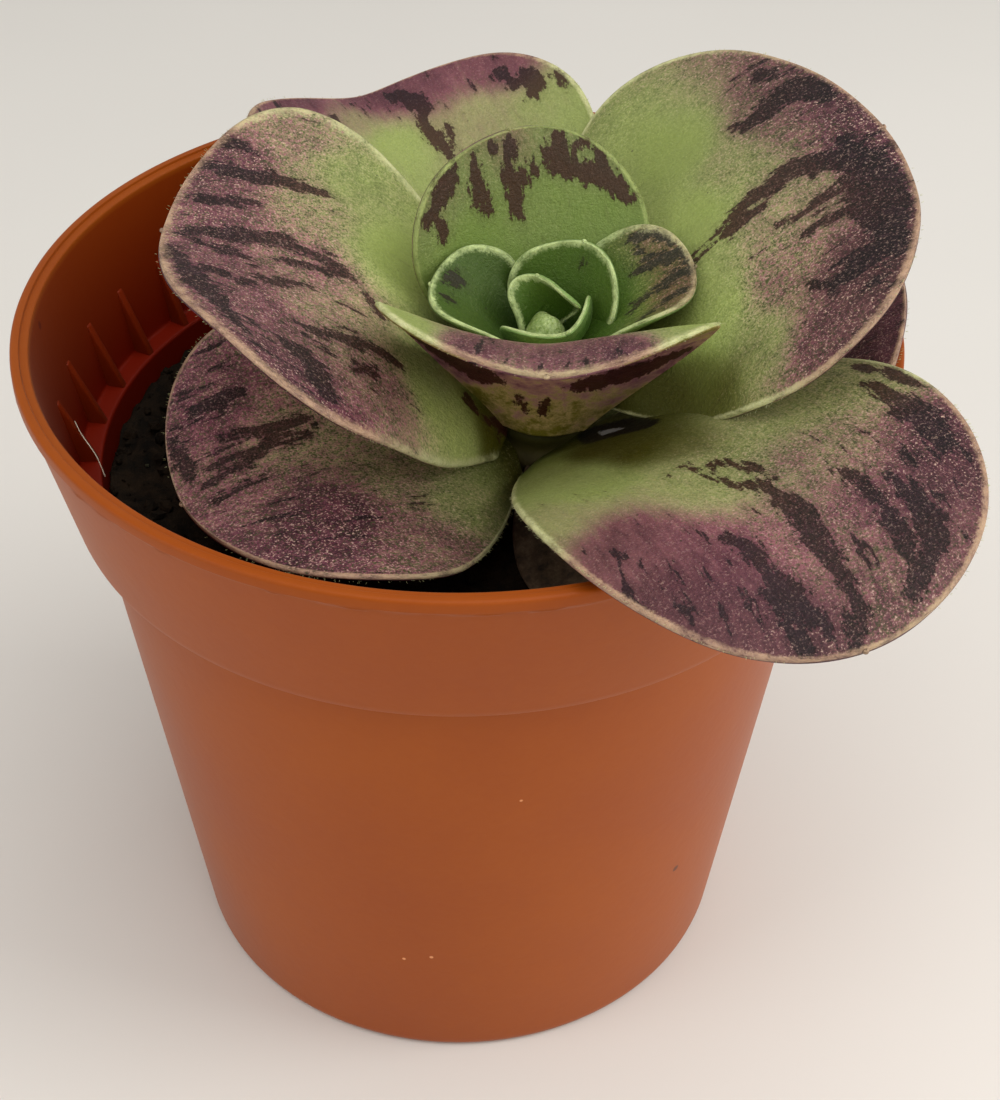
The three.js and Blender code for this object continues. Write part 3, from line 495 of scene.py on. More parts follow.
def make_blade_skin(name, ramp, back_ramp, foot_shade, rim, rim_width, flecks=1.0):
    surface = Surface(name)
    place = surface.attribute("flat", "Vector")
    flush, streak, margin, under, rough, paleness, foot, back_tone, lift, painted_hollow = map(surface.attribute, BLADE_FACTS)
    coarse = surface.noise(place, 0.11, 2)
    patch = surface.noise(place, 0.55, 3, 0.6)
    fibre = surface.noise(surface.stretched(place, (0.35, 1.5, 1)), 0.9, 3, 0.6)
    grain = surface.noise(place, 2.4, 3, 0.75)
    sand = surface.noise(place, 4.4, 2, 0.7)
    distance, cell = surface.cells(place, 3.7)
    dot = distance.step(0.6, 0.1)
    coloured = flush * rough
    strength = coloured * 1.25 + 0.1
    # the flush comes in patches and grains, so the colours mix as specks
    tone = flush + coarse.around(0.3) + fibre.around(0.5) * (flush * 0.8 + 0.15)
    tone = (tone + (grain.around(1.1) + sand.around(1.2)) * coloured).held()
    # painted shade: darker olive at the blade's foot and in its gutters, where the sunk places say
    base = surface.mix(foot.step(0.0, 0.9), surface.ramp(tone, ramp), foot_shade)
    # dark streaks run along the blade, with ragged and fingered edges, and flecks lie between them
    fleck = surface.noise(surface.stretched(place, (0.22, 0.85, 1)), 0.8, 3, 0.62)
    fleck = 2.2 - flush * (1.35 * flecks) + fleck.around(-7.5)
    edge = (streak - 0.12 * flecks).at_least(-0.8) + fibre.around(2.8) + patch.around(1.6)
    edge = edge.at_most(fleck) + grain.around(1.5)
    mark = edge.step(0.35, 0.0)
    scar = surface.mix(0.7 * (1 - flecks), surface.ramp(flush + patch.around(0.8), STREAK_RAMP), colour(40, 44, 26))
    base = surface.mix(edge.step(1.5, 0.0) * 0.2, base, scar)
    base = surface.mix(mark * 0.91, base, scar)
    # light and dark grains of the skin, brightened by painted light where lift says, and painted glints on them
    light = sand.around(3.4) + grain.around(1.6) + patch.around(1.1) + cell.around(0.8) * dot
    base = surface.mix(1.0, base, (light * strength + 1.0).at_least(0.25) * lift, "MULTIPLY")
    glint = (sand + cell.around(0.2) * dot).step(0.56, 0.74)
    glint = (glint * (strength * 0.5)).held() * (1.0 - mark * 0.6)
    base = surface.mix(glint, base, colour(206, 180, 160))
    distance, chance = surface.cells(place, 0.34)
    base = surface.mix(distance.step(0.055, 0.03) * chance.step(0.4, 0.5) * 0.8, base, colour(46, 40, 28))
    # the back of the blade is plainer, and purple beside its margin
    back = surface.ramp(back_tone + patch.around(1.3) + grain.around(0.5), back_ramp)
    back = surface.mix(mark * 0.95, back, scar)
    # painted light brightens the back where lift says
    back = surface.mix(1.0, back, grain.around(1.2) + lift, "MULTIPLY")
    base = surface.mix(under.step(0.5, 0.65), base, back)
    # pale uneven margin, greener or rosier as the blade is
    near = margin / (paleness * (rim_width * 1.4)) + grain.around(2.5)
    band = near.step(1.0, 0.0) * under.step(0.75, 0.5)
    band = (band * (patch.around(2.4) + grain.around(1.6) + 0.72)).held()
    base = surface.mix(band, base, surface.mix(flush.step(0.3, 0.85), rim, colour(182, 150, 124)))
    # painted shade of a dark gap among the blades' feet, with a painted grey highlight in it
    painted_hollow = painted_hollow + grain.around(1.2)
    base = surface.mix(painted_hollow.step(0.3, -0.3), base, colour(12, 9, 5))
    base = surface.mix(painted_hollow.step(-1.95, -2.15), base, colour(150, 152, 156))
    surface.skin_is(Base_Color=base, Roughness=grain.around(-0.5) + 0.52, Specular_IOR_Level=0.3,
                    Subsurface_Weight=0.1, Subsurface_Scale=0.001, Subsurface_Radius=(1.0, 0.8, 0.3))
    surface.relief(sand * 0.6 + grain * 0.8 + fibre * 0.5 - mark * 0.3, 0.00016, 0.9)
    return surface.material


def make_stem_skin():
    surface = Surface("stem skin")
    place = surface.object_place()
    patch = surface.noise(place, 300, 4, 0.6)
    grain = surface.noise(place, 1800, 2)
    base = surface.ramp(patch + grain.around(0.3),
                        [(0.3, 62, 46, 28), (0.5, 96, 82, 48), (0.75, 122, 110, 66)])
    # from just above the soil the stem turns dark olive
    height = Value(surface, surface.node("SeparateXYZ", {0: place}).outputs["Z"])
    base = surface.mix(height.step(0.062, 0.07), base, colour(62, 60, 10))
    surface.skin_is(Base_Color=base, Roughness=grain.around(0.2) + 0.62)
    surface.relief(patch + grain * 0.3, 0.0003, 0.7)
    return surface.material


def make_dry_skin():
    surface = Surface("dried leaf")
    place = surface.attribute("flat", "Vector")
    patch = surface.noise(place, 0.6, 4, 0.6)
    grain = surface.noise(place, 3.0, 2)
    base = surface.ramp(patch + grain.around(0.4),
                        [(0.3, 46, 34, 24), (0.5, 88, 70, 50), (0.75, 122, 102, 78)])
    surface.skin_is(Base_Color=base, Roughness=grain.around(0.2) + 0.75)
    surface.relief(patch, 0.0004, 0.8)
    return surface.material


def make_plain(name, shade, roughness):
    surface = Surface(name)
    cloud = surface.noise(surface.object_place(), 12, 3)
    surface.skin_is(Base_Color=surface.mix(1.0, shade, cloud.around(0.06) + 1.0, "MULTIPLY"),
                    Roughness=cloud.around(0.1) + roughness)
    surface.relief(cloud, 0.0001, 0.3)
    return surface.material


POT_PLASTIC = make_pot_plastic()
PEAT = make_soil("peat", (13, 10, 6), (50, 38, 26))
GRIT = make_soil("grit", (58, 58, 42), (112, 112, 88))
BLADE_SKIN = make_blade_skin("leaf skin", FLUSH_RAMP, BACK_RAMP, colour(70, 70, 4), colour(204, 206, 152), 0.4)
UPRIGHT_SKIN = make_blade_skin("upright leaf skin", UPRIGHT_RAMP, BACK_RAMP, colour(76, 98, 14),
                               colour(150, 164, 96), 0.25)
YOUNG_SKIN = make_blade_skin("young leaf skin", YOUNG_RAMP, YOUNG_BACK_RAMP, colour(48, 74, 12),
                             colour(200, 218, 152), 0.5, 0.0)
STEM_SKIN = make_stem_skin()
DRY_SKIN = make_dry_skin()
PALE_HAIR = make_plain("pale hair", colour(232, 222, 200), 0.5)
FLOOR_PAINT = make_plain("floor paint", colour(226, 224, 220), 0.7)


# ---- pieces

def make_object(name, shape, material=None, smooth=True):
    """Turns the shape into an object of that name."""
    mesh = bpy.data.meshes.new(name)
    shape.to_mesh(mesh)
    shape.free()
    if material:
        mesh.materials.append(material)
    mesh.polygons.foreach_set("use_smooth", [smooth] * len(mesh.polygons))
    thing = bpy.data.objects.new(name, mesh)
    bpy.context.collection.objects.link(thing)
    return thing


def finish_piece(name, shape, material, slot, *nodes, smooth=True):
    """Makes a piece of the part, fixed to the root, and hides the model's nodes that it takes the place of."""
    piece = make_object(name, shape, material, smooth)
    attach(piece, "root")
    if nodes:
        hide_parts(*nodes)
    return piece


def join(shape, part):
    """Adds the part to the shape and lets go of it."""
    mesh = bpy.data.meshes.new("part")
    part.to_mesh(mesh)
    part.free()
    shape.from_mesh(mesh)
    bpy.data.meshes.remove(mesh)


def spin_profile(shape, profile, sides, x=0.0, y=0.0):
    """Adds a closed turned body, from [radius, z] points that start and end on the axis."""
    places = [((x + radius) * MM, y * MM, z * MM) for radius, z in profile]
    line = [bmesh.ops.create_vert(shape, co=places[0])["vert"][0]]
    for place in places[1:]:
        line.append(bmesh.ops.extrude_vert_indiv(shape, verts=[line[-1]])["verts"][0])
        line[-1].co = place
    edges = dict.fromkeys(edge for vertex in line for edge in vertex.link_edges)
    bmesh.ops.spin(shape, geom=line + list(edges), cent=(x * MM, y * MM, 0), axis=(0, 0, 1), angle=2 * math.pi,
                   steps=sides, use_merge=True)
    bmesh.ops.remove_doubles(shape, verts=shape.verts, dist=1e-7)
    bmesh.ops.recalc_face_normals(shape, faces=shape.faces)


def taper(z, z0, r0, z1, r1):
    """The radius at height z of a cone that is r0 at z0 and r1 at z1."""
    return r0 + (r1 - r0) * (z - z0) / (z1 - z0)


COLLAR_BOTTOM = POT["height"] - POT["collar_height"]
LIP_BOTTOM = POT["height"] - POT["lip_height"]
RIM_SEAM = POT["rim_radius"] - POT["rim_width"] / 2


def body_inner(z):
    outer = taper(z, POT["foot_round"], POT["body_bottom_radius"], COLLAR_BOTTOM, POT["body_top_radius"])
    return outer - POT["body_wall"]


def collar_outer(z):
    return taper(z, COLLAR_BOTTOM, POT["collar_bottom_radius"], LIP_BOTTOM, POT["rim_radius"] - POT["lip_proud"])


def collar_inner(z):
    return taper(z, COLLAR_BOTTOM, POT["collar_bottom_radius"] - POT["collar_wall"], POT["height"],
                 POT["rim_radius"] - POT["rim_width"])


def rounded(points, steps=4, margin=0.25):
    """A profile with its marked corners rounded: a point's third value is its radius. A point a little way
    on from each rounding keeps the long faces beside it plain."""
    result = []
    for i, point in enumerate(points):
        if len(point) == 2:
            result.append(point)
            continue
        here, radius = Vector(point[:2]), point[2]
        sides = [Vector(points[k][:2]) - here for k in (i - 1, i + 1)]
        start, end = (here + side.normalized() * min(radius, side.length * 0.45) for side in sides)
        bend = [start * (1 - t) ** 2 + here * 2 * t * (1 - t) + end * t ** 2
                for t in (k / steps for k in range(steps + 1))]
        before, after = ([here + side.normalized() * (radius + margin)] if side.length > 2 * (radius + margin) else []
                         for side in sides)
        result += [tuple(spot) for spot in before + bend + after]
    return result


def make_pot():
    top, rim, ledge, floor = POT["height"], POT["rim_radius"], POT["ledge"], POT["floor"]
    foot, inside = POT["foot_round"], POT["foot_round"] + POT["inside_round"]
    shape = bmesh.new()
    spin_profile(shape, rounded([
        (0, 0),
        (POT["recess_inner"] - 1, 0, 0.4),
        (POT["recess_inner"], POT["recess_depth"], 0.4),
        (POT["recess_outer"], POT["recess_depth"], 0.4),
        (POT["recess_outer"] + 1, 0, 0.4),
        (POT["body_bottom_radius"], 0, foot),
        (POT["body_top_radius"], COLLAR_BOTTOM - ledge, 0.2),
        (POT["collar_bottom_radius"] - 0.2, COLLAR_BOTTOM - ledge, 0.15),
        (POT["collar_bottom_radius"], COLLAR_BOTTOM, 0.2),
        (collar_outer(LIP_BOTTOM - 1.2), LIP_BOTTOM - 1.2),
        (collar_outer(LIP_BOTTOM - 0.6), LIP_BOTTOM - 0.6),
        (rim - POT["lip_proud"], LIP_BOTTOM, 0.1),
        (rim, LIP_BOTTOM + 0.15, 0.15),
        (rim, top, 0.45),
        (RIM_SEAM, top, 0.08),
        (RIM_SEAM - 0.1, top - POT["rim_step"], 0.08),
        (rim - POT["rim_width"], top - POT["rim_step"], 0.2),
        (collar_inner(top - POT["rim_depth"]), top - POT["rim_depth"]),
        (collar_inner(COLLAR_BOTTOM + ledge), COLLAR_BOTTOM + ledge, 0.3),
        (body_inner(COLLAR_BOTTOM), COLLAR_BOTTOM + ledge, 0.3),
        (body_inner(inside), inside, 1.0),
        (body_inner(foot) - POT["inside_round"], floor, 1.0),
        (0, floor),
    ]), POT["sides"])
    draw = random.Random(BURR["seed"])
    waves = [(rate, draw.uniform(0, 2 * math.pi)) for rate in BURR["rates"]]
    # the inside of the pot gets painted shade, a deeper red-brown, so its points are told apart
    layer = shape.verts.layers.float.new("inside")
    for vertex in shape.verts:
        x, y, z = vertex.co / MM
        radius = math.hypot(x, y)
        if abs(z - LIP_BOTTOM - 0.05) < 0.12 and radius > rim - 0.6:
            burr = sum(math.sin(rate * math.atan2(y, x) + phase) for rate, phase in waves)
            vertex.co *= 1 + BURR["out"] * max(0.0, burr - BURR["bare"]) * (radius / rim)
            vertex.co.z = (z - BURR["down"] * max(0.0, burr)) * MM
            x, y, z = vertex.co / MM
        if z > COLLAR_BOTTOM - ledge / 2:
            wall = taper(z, COLLAR_BOTTOM, POT["collar_bottom_radius"], top, rim)
        else:
            wall = taper(z, 0, POT["body_bottom_radius"], COLLAR_BOTTOM, POT["body_top_radius"])
        if math.hypot(x, y) < wall - 0.9 and floor - 0.5 < z < top - 0.7:
            vertex[layer] = min(1.0, POT["rim_painted_shade"] + (top - z) / POT["painted_shade_depth"])
    cut_drain_holes(finish_piece("pot_body", shape, POT_PLASTIC, "pot_plastic", "pot"))


def cut_drain_holes(body):
    """Cuts the holes through the recessed part of the floor."""
    shape = bmesh.new()
    reach, radius, floor = (POT["recess_inner"] + POT["recess_outer"]) / 2, POT["drain_radius"] * MM, POT["floor"]
    for i in range(POT["drain_holes"]):
        turn = i / POT["drain_holes"] * 2 * math.pi
        place = Vector((reach * math.cos(turn), reach * math.sin(turn), floor / 2)) * MM
        bmesh.ops.create_cone(shape, cap_ends=True, segments=32, radius1=radius, radius2=radius,
                              depth=4 * floor * MM, matrix=Matrix.Translation(place))
    cutter = make_object("drain_cutter", shape)
    cut = body.modifiers.new("drains", "BOOLEAN")
    cut.operation, cut.solver, cut.object = "DIFFERENCE", "EXACT", cutter
    result = bpy.data.meshes.new_from_object(body.evaluated_get(bpy.context.evaluated_depsgraph_get()))
    result.polygons.foreach_set("use_smooth", [True] * len(result.polygons))
    spent = [body.data, cutter.data, cutter]
    body.modifiers.clear()
    body.data = result
    bpy.data.batch_remove(spent)


def make_fins():
    shape = bmesh.new()
    ledge, root = COLLAR_BOTTOM + POT["ledge"], FINS["root"]
    foot, top = (ledge - FINS["sunk"], FINS["depth"]), (ledge + FINS["height"], FINS["top_depth"])
    for i in range(FINS["count"]):
        cube = bmesh.ops.create_cube(shape, size=1.0)["verts"]
        for vertex in cube:
            z, depth = top if vertex.co.z > 0 else foot
            x = collar_inner(z) + (root if vertex.co.x > 0 else -depth)
            vertex.co = Vector((x, vertex.co.y * FINS["thickness"], z)) * MM
        edges = list(dict.fromkeys(edge for vertex in cube for edge in vertex.link_edges))
        bevelled = bmesh.ops.bevel(shape, geom=edges, offset=FINS["bevel"] * MM, offset_type="OFFSET", segments=2,
                                   profile=0.5, affect="EDGES", material=-1)
        bmesh.ops.transform(shape, matrix=Matrix.Rotation((i + 0.5) / FINS["count"] * 2 * math.pi, 4, "Z"),
                            verts=list(dict.fromkeys(bevelled["verts"])))
    bmesh.ops.recalc_face_normals(shape, faces=shape.faces)
    # the fins get the painted shade of the pot's inside
    layer = shape.verts.layers.float.new("inside")
    for vertex in shape.verts:
        vertex[layer] = POT["fin_painted_shade"]
    finish_piece("pot_fins", shape, POT_PLASTIC, "pot_plastic")


def soil_height(x, y):
    waves = sum(size * math.sin(rate_x * x + rate_y * y + phase) for rate_x, rate_y, phase, size in SOIL_WAVES)
    return SOIL["level"] - SOIL["wall_drop"] * (math.hypot(x, y) / POT["body_top_radius"]) ** 4 + waves


def make_soil_body():
    level, gap, rings = SOIL["level"], SOIL["gap"], SOIL["rings"]
    edge = level - SOIL["wall_drop"]
    reach = body_inner(edge) - gap
    foot, inside = POT["foot_round"], POT["foot_round"] + POT["inside_round"]
    shape = bmesh.new()
    spin_profile(shape, [
        (0, POT["floor"] + gap),
        (body_inner(foot) - POT["inside_round"] - gap, POT["floor"] + gap),
        (body_inner(inside) - gap, inside),
        (reach, edge - 1.5),
    ] + [(reach * i / rings, level) for i in range(rings, -1, -1)], SOIL["sides"])
    draw = random.Random(SOIL_GRAIN["seed"])
    grain = [[draw.uniform(*span) for span in SOIL_GRAIN["spans"]] for _ in range(SOIL_GRAIN["count"])]
    for vertex in shape.verts:
        x, y, z = vertex.co / MM
        if z > level - 0.01:
            rough = sum(size * math.sin(rate * (x * math.cos(turn) + y * math.sin(turn)) + phase)
                        for rate, turn, phase, size in grain)
            vertex.co.z = (soil_height(x, y) + rough) * MM
    finish_piece("soil_body", shape, PEAT, "soil", "soil")


def scatter(name, material, count, smallest, largest, seed):
    """Small uneven lumps lying on the soil, clear of the pot's wall and the stem."""
    draw = random.Random(seed)
    shape, part = bmesh.new(), bmesh.new()
    for i in range(count):
        radius = SOIL["crumbs_to"] * math.sqrt(draw.uniform(0.02, 1))
        turn = draw.uniform(0, 2 * math.pi)
        x, y = radius * math.cos(turn), radius * math.sin(turn)
        size = min(smallest + (largest - smallest) * draw.random() ** 2, SOIL["wall"] - radius)
        from_stem = math.hypot(x - STEM["x"], y - STEM["y"])
        if size < LUMPS["least"] or from_stem < STEM["radius"] + size + LUMPS["room"]:
            continue
        lump = bmesh.ops.create_icosphere(part, subdivisions=1, radius=1.0)["verts"]
        stretch = [draw.uniform(LUMPS["narrow"], 1.0) for _ in range(3)]
        for vertex in lump:
            knock = 1 + draw.uniform(-LUMPS["knock"], LUMPS["knock"])
            vertex.co = Vector(c * s * knock for c, s in zip(vertex.co, stretch))
        place = (Matrix.Translation(Vector((x, y, soil_height(x, y) + size * LUMPS["proud"])) * MM)
                 @ Matrix.Rotation(draw.uniform(0, 2 * math.pi), 4, "Z")
                 @ Matrix.Rotation(draw.uniform(-LUMPS["tilt"], LUMPS["tilt"]), 4, "X")
                 @ Matrix.Scale(size * MM, 4))
        bmesh.ops.transform(part, matrix=place, verts=lump)
        # operators slow down as their shape grows, so the lumps are made a few at a time
        if i % 60 == 59:
            join(shape, part)
            part = bmesh.new()
    join(shape, part)
    finish_piece(name, shape, material, "soil", smooth=False)


def make_stem():
    bottom, ground, top, rows = STEM["bottom"], STEM["root_top"], STEM["top"], 8
    profile = [(0, bottom)]
    for i in range(rows + 1):
        z = bottom + (ground - bottom) * i / rows
        profile.append((taper(z, bottom, STEM["root_radius"], ground, STEM["radius"]), z))
    # the scars of fallen leaves ring the stem
    while z < top - 2 * STEM["crown"]:
        z += STEM["scar_pitch"] / 8
        neck = STEM["radius"] + (STEM["top_radius"] - STEM["radius"]) * ((z - ground) / (top - ground)) ** 3
        wave = math.sin(2 * math.pi * (z - ground) / STEM["scar_pitch"] + STEM["scar_phase"])
        profile.append((neck + STEM["scar"] * wave, z))
    profile += [(STEM["top_radius"] - STEM["crown"], top), (0, top)]
    shape = bmesh.new()
    spin_profile(shape, profile, 48, STEM["x"], STEM["y"])
    finish_piece("stem_body", shape, STEM_SKIN, "stem", "stem")


# ---- blades: x and v run along and across a blade, from 0 to 1 and -1 to 1, and s and t are the same in mm

# What the skin is told in the margin hairs and in the growing point, in the order of BLADE_FACTS; FAR is the
# distance in mm of a stroke where there is none
FAR = 9.0
HAIR_FACTS = (0.3, FAR, 0.0, 0.2, 0.5, 1.0, 0.0, 0.3, 1.0, FAR)
# the growing point is brightened by painted light through its lift
GROWING_POINT_FACTS = (0.15, FAR, 0.3, 0.2, 1.5, 0.9, 0.0, 0.0, 1.7, FAR)


def values_of(blade):
    return {**PLAIN, **blade["group"], **blade}


def beyond_widest(leaf, x):
    """How far a place lies from the blade's widest part towards its tip."""
    return np.clip((x - leaf["widest"]) / (1 - leaf["widest"]), 0, 1)


def half_width_at(leaf, x):
    base = leaf["base"] / leaf["half_width"]
    swell = np.sin(np.pi / 2 * np.clip(x / leaf["widest"], 0, 1)) ** leaf["shoulder"]
    tip = np.sqrt(1 - beyond_widest(leaf, x) ** 2)
    return leaf["half_width"] * np.where(x < leaf["widest"], base + (1 - base) * swell, tip)


def directions_at(leaf, x):
    """Along the midrib, across it and up from it."""
    heading = (leaf["heading"] + leaf["turn"] * x) * DEG
    rise = (leaf["rise"] + (leaf["rise_tip"] - leaf["rise"]) * x) * DEG
    roll = (leaf["roll"] + (leaf["roll_tip"] - leaf["roll"]) * x) * DEG
    along = np.stack([np.cos(rise) * np.cos(heading), np.cos(rise) * np.sin(heading), np.sin(rise)], -1)
    flat = np.stack([-np.sin(heading), np.cos(heading), 0 * x], -1)
    lift = np.cross(along, flat)
    cosine, sine = np.cos(roll)[..., None], np.sin(roll)[..., None]
    return along, flat * cosine + lift * sine, lift * cosine - flat * sine


def midrib_at(leaf, x):
    steps, end = 220, 1.1
    edges = np.linspace(0, end, steps + 1)
    along = directions_at(leaf, (edges[1:] + edges[:-1]) / 2)[0]
    heading = leaf["heading"] * DEG
    foot = [STEM["x"] + leaf["reach"] * math.cos(heading), STEM["y"] + leaf["reach"] * math.sin(heading), leaf["z"]]
    track = np.vstack([np.zeros(3), np.cumsum(along, 0) * leaf["length"] * end / steps]) + np.array(foot)
    return np.stack([np.interp(x, edges, track[:, i]) for i in range(3)], -1)


def lobes_at(leaf, x, side):
    """How much wider than its plain outline the blade is in the direction of a place."""
    forward = (x - leaf["widest"]) / (1 - leaf["widest"])
    sideways = side / leaf["half_width"]
    turn = np.arctan2(sideways, forward)
    fade = np.clip(x / LOBES_FULL, 0, 1)
    fade = fade * fade * (3 - 2 * fade) * np.minimum(forward ** 2 + sideways ** 2, LOBES_MOST)
    return 1 + fade * sum((size * np.cos(count * turn - phase * DEG) for count, size, phase in leaf["lobes"]), 0 * x)


def middle_surface(leaf, x, v):
    """Points of the blade's middle surface, in mm."""
    x = np.clip(x, 0, 1)
    side = v * half_width_at(leaf, x)
    lobes = lobes_at(leaf, x, side)
    x, side = leaf["widest"] + (x - leaf["widest"]) * lobes, side * lobes
    _, across, up = directions_at(leaf, x)
    cup = np.where(v > 0, leaf["cup_left"], leaf["cup_right"]) * DEG / leaf["half_width"]
    cup = np.where(np.abs(cup) < 1e-5, 1e-5, cup)
    fold = np.tan((leaf["fold"] * (1 - x) + leaf["fold_tip"] * x) * DEG)
    crease = CREASE * leaf["half_width"]
    sideways = np.sin(cup * side) / cup + leaf["bow"] * np.sin(np.pi * x)
    height = (1 - np.cos(cup * side)) / cup + (np.hypot(side, crease) - crease) * fold
    return midrib_at(leaf, x) + across * sideways[..., None] + up * height[..., None]


def unit(vectors):
    return vectors / np.maximum(np.linalg.norm(vectors, axis=-1, keepdims=True), 1e-9)


def margin_distance(leaf, x, v):
    """Roughly how far in mm a place on the blade is from its outline."""
    half = half_width_at(leaf, x)
    q, side = beyond_widest(leaf, x), v * half / leaf["half_width"]
    f = np.hypot(q, side) + 1e-9
    slope = np.hypot(q / ((1 - leaf["widest"]) * leaf["length"]), side / leaf["half_width"]) / f
    return np.where(x > leaf["widest"], (1 - f) / np.maximum(slope, 1e-6), (1 - np.abs(v)) * half)


def stroke_distance(leaf, strokes, s, t):
    """Distance in mm to the nearest stroke's edge, negative inside it."""
    nearest = np.full(s.shape, FAR)
    for stroke in strokes:
        along, across, radius = np.array(stroke).T / 100
        points = list(zip(along * leaf["length"], across * half_width_at(leaf, along), radius))
        for (x0, y0, r0), (x1, y1, r1) in zip(points, points[1:]):
            dx, dy = x1 - x0, y1 - y0
            f = np.clip(((s - x0) * dx + (t - y0) * dy) / (dx * dx + dy * dy + 1e-9), 0, 1)
            nearest = np.minimum(nearest, np.hypot(s - x0 - f * dx, t - y0 - f * dy) - r0 - (r1 - r0) * f)
    return nearest


def blend_at(leaf, fact, s, t, plain=0.0, softness=6.0):
    """A fact at each point, blended from the few places that the blade's entry gives, or plain without any."""
    if not leaf[fact]:
        return plain
    total = weight = 0
    for along, across, amount in np.array(leaf[fact]) / 100:
        side = across * half_width_at(leaf, along)
        near = 1 / ((s - along * leaf["length"]) ** 2 + (t - side) ** 2 + softness) ** 2
        total, weight = total + near * amount, weight + near
    return total / weight


def ripple(leaf, s, t, seed):
    """Slight unevenness of a grown blade, in mm."""
    draw = random.Random(seed)
    rise = 0
    for _ in range(7):
        rate, turn = draw.uniform(0.12, 0.5), draw.uniform(0, 2 * math.pi)
        wave = np.sin(rate * (s * math.cos(turn) + t * math.sin(turn)) + draw.uniform(0, 6.3))
        rise = rise + 0.05 / (0.3 + rate) * wave
    return rise * np.clip(s / 8, 0, 1) * min(1, leaf["half_width"] / 20)


def store_facts(part, facts, flat):
    """Keeps the facts of BLADE_FACTS, and the place on the flat blade in mm, at the part's points."""
    total = len(part.verts)
    for name, values in zip(BLADE_FACTS, facts):
        layer = part.verts.layers.float.new(name)
        for vertex, value in zip(part.verts, np.zeros(total) + values):
            vertex[layer] = value
    layer = part.verts.layers.float_vector.new("flat")
    for vertex, place in zip(part.verts, np.zeros((total, 3)) + flat):
        vertex[layer] = place


def add_blade(shape, blade, seed):
    """Adds one fleshy blade to the shape, with what its skin needs to know at each point."""
    leaf = values_of(blade)
    widest, edge = leaf["widest"], leaf["edge"]
    grid = bmesh.new()
    bmesh.ops.create_grid(grid, x_segments=leaf["rows"], y_segments=leaf["columns"], size=0.5)
    upper = bmesh.ops.extrude_face_region(grid, geom=grid.verts[:] + grid.edges[:] + grid.faces[:],
                                          use_keep_orig=True)
    bmesh.ops.translate(grid, vec=(0, 0, 1), verts=[g for g in upper["geom"] if isinstance(g, bmesh.types.BMVert)])
    walls = [line for line in grid.edges if abs(line.verts[0].co.z - line.verts[1].co.z) > 0.5]
    bmesh.ops.subdivide_edges(grid, edges=walls, cuts=3, use_grid_fill=True)
    # x and v crowd the points towards the tip and the margins; w runs from -1 below to 1 above
    x, v, w = np.array([vertex.co[:] for vertex in grid.verts]).T
    x = np.clip(x + 0.5, 0, 1)
    x = np.where(x < 0.5, widest * (2 * x) ** 1.15,
                 widest + (1 - widest) * np.sin(np.pi / 2 * np.clip(2 * x - 1, 0, 1)))
    v = np.clip(2 * v, -1, 1)
    v = v * (1.5 - 0.5 * v * v)
    w = 2 * w - 1
    s, t = x * leaf["length"], v * half_width_at(leaf, x)
    inside, step = np.minimum(x, 0.992), 2e-3
    slope_x = middle_surface(leaf, inside + step, v) - middle_surface(leaf, inside - step, v)
    slope_v = middle_surface(leaf, inside, v + step) - middle_surface(leaf, inside, v - step)
    normal = unit(np.cross(slope_x, slope_v))
    at_tip = x > 0.9999
    at_margin = at_tip | (np.abs(v) > 0.9999)
    margin = np.where(at_margin, 0, margin_distance(leaf, x, v))
    plump = np.clip(margin / (1.6 * leaf["middle"]), 0, 1)
    plump = plump * (2 - plump) * (1 - v * v) ** 0.5 * (1 - TIP_THINNING * x * x)
    thickness = edge + (leaf["middle"] - edge) * plump
    place = middle_surface(leaf, x, v) + normal * (w * thickness / 2 + ripple(leaf, s, t, seed))[:, None]
    # the wall round the margin swells out to a rounded edge
    forward = unit(slope_x)
    q = beyond_widest(leaf, x)
    steep = leaf["half_width"] * q / ((1 - widest) * leaf["length"] * np.sqrt(np.maximum(1 - q * q, 1e-6)))
    outward = unit(forward * steep[:, None] + unit(slope_v) * np.sign(v)[:, None])
    outward = np.where(at_tip[:, None], forward, outward)
    swell = np.where(at_margin, np.sqrt(np.maximum(1 - w * w, 0)) * edge / 2, 0)
    for vertex, point in zip(grid.verts, (place + outward * swell[:, None]) * MM):
        vertex.co = point
    streak = stroke_distance(leaf, leaf["streaks"], s, t)
    if leaf["under_streaks"]:
        streak = np.where(w < 0, stroke_distance(leaf, leaf["under_streaks"], s, t), streak)
    flush = blend_at(leaf, "flush", s, t)
    facts = (flush, streak, margin, (1 - w) / 2,
             blend_at(leaf, "grains", s, t, leaf["grain"], 12.0),
             leaf["rim"],
             # painted shade at the foot and in the gutters
             blend_at(leaf, "sunk", s, t, np.clip(1 - s / leaf["foot"], 0, 1)),
             blend_at(leaf, "back", s, t, 0.35 * flush + 0.75 * np.clip(1 - margin / 3, 0, 1), 1.5),
             # painted light
             blend_at(leaf, "lift", s, t, 1.0, 20.0),
             # painted shade of a dark gap, with a painted highlight
             stroke_distance(leaf, leaf["painted_hollow"], s, t))
    store_facts(grid, facts, np.stack([s, t, 40.0 * seed + w], -1))
    bmesh.ops.remove_doubles(grid, verts=grid.verts, dist=2e-6)
    bmesh.ops.recalc_face_normals(grid, faces=grid.faces)
    join(shape, grid)
    if leaf["hairs"]:
        add_margin_hairs(shape, leaf, seed)


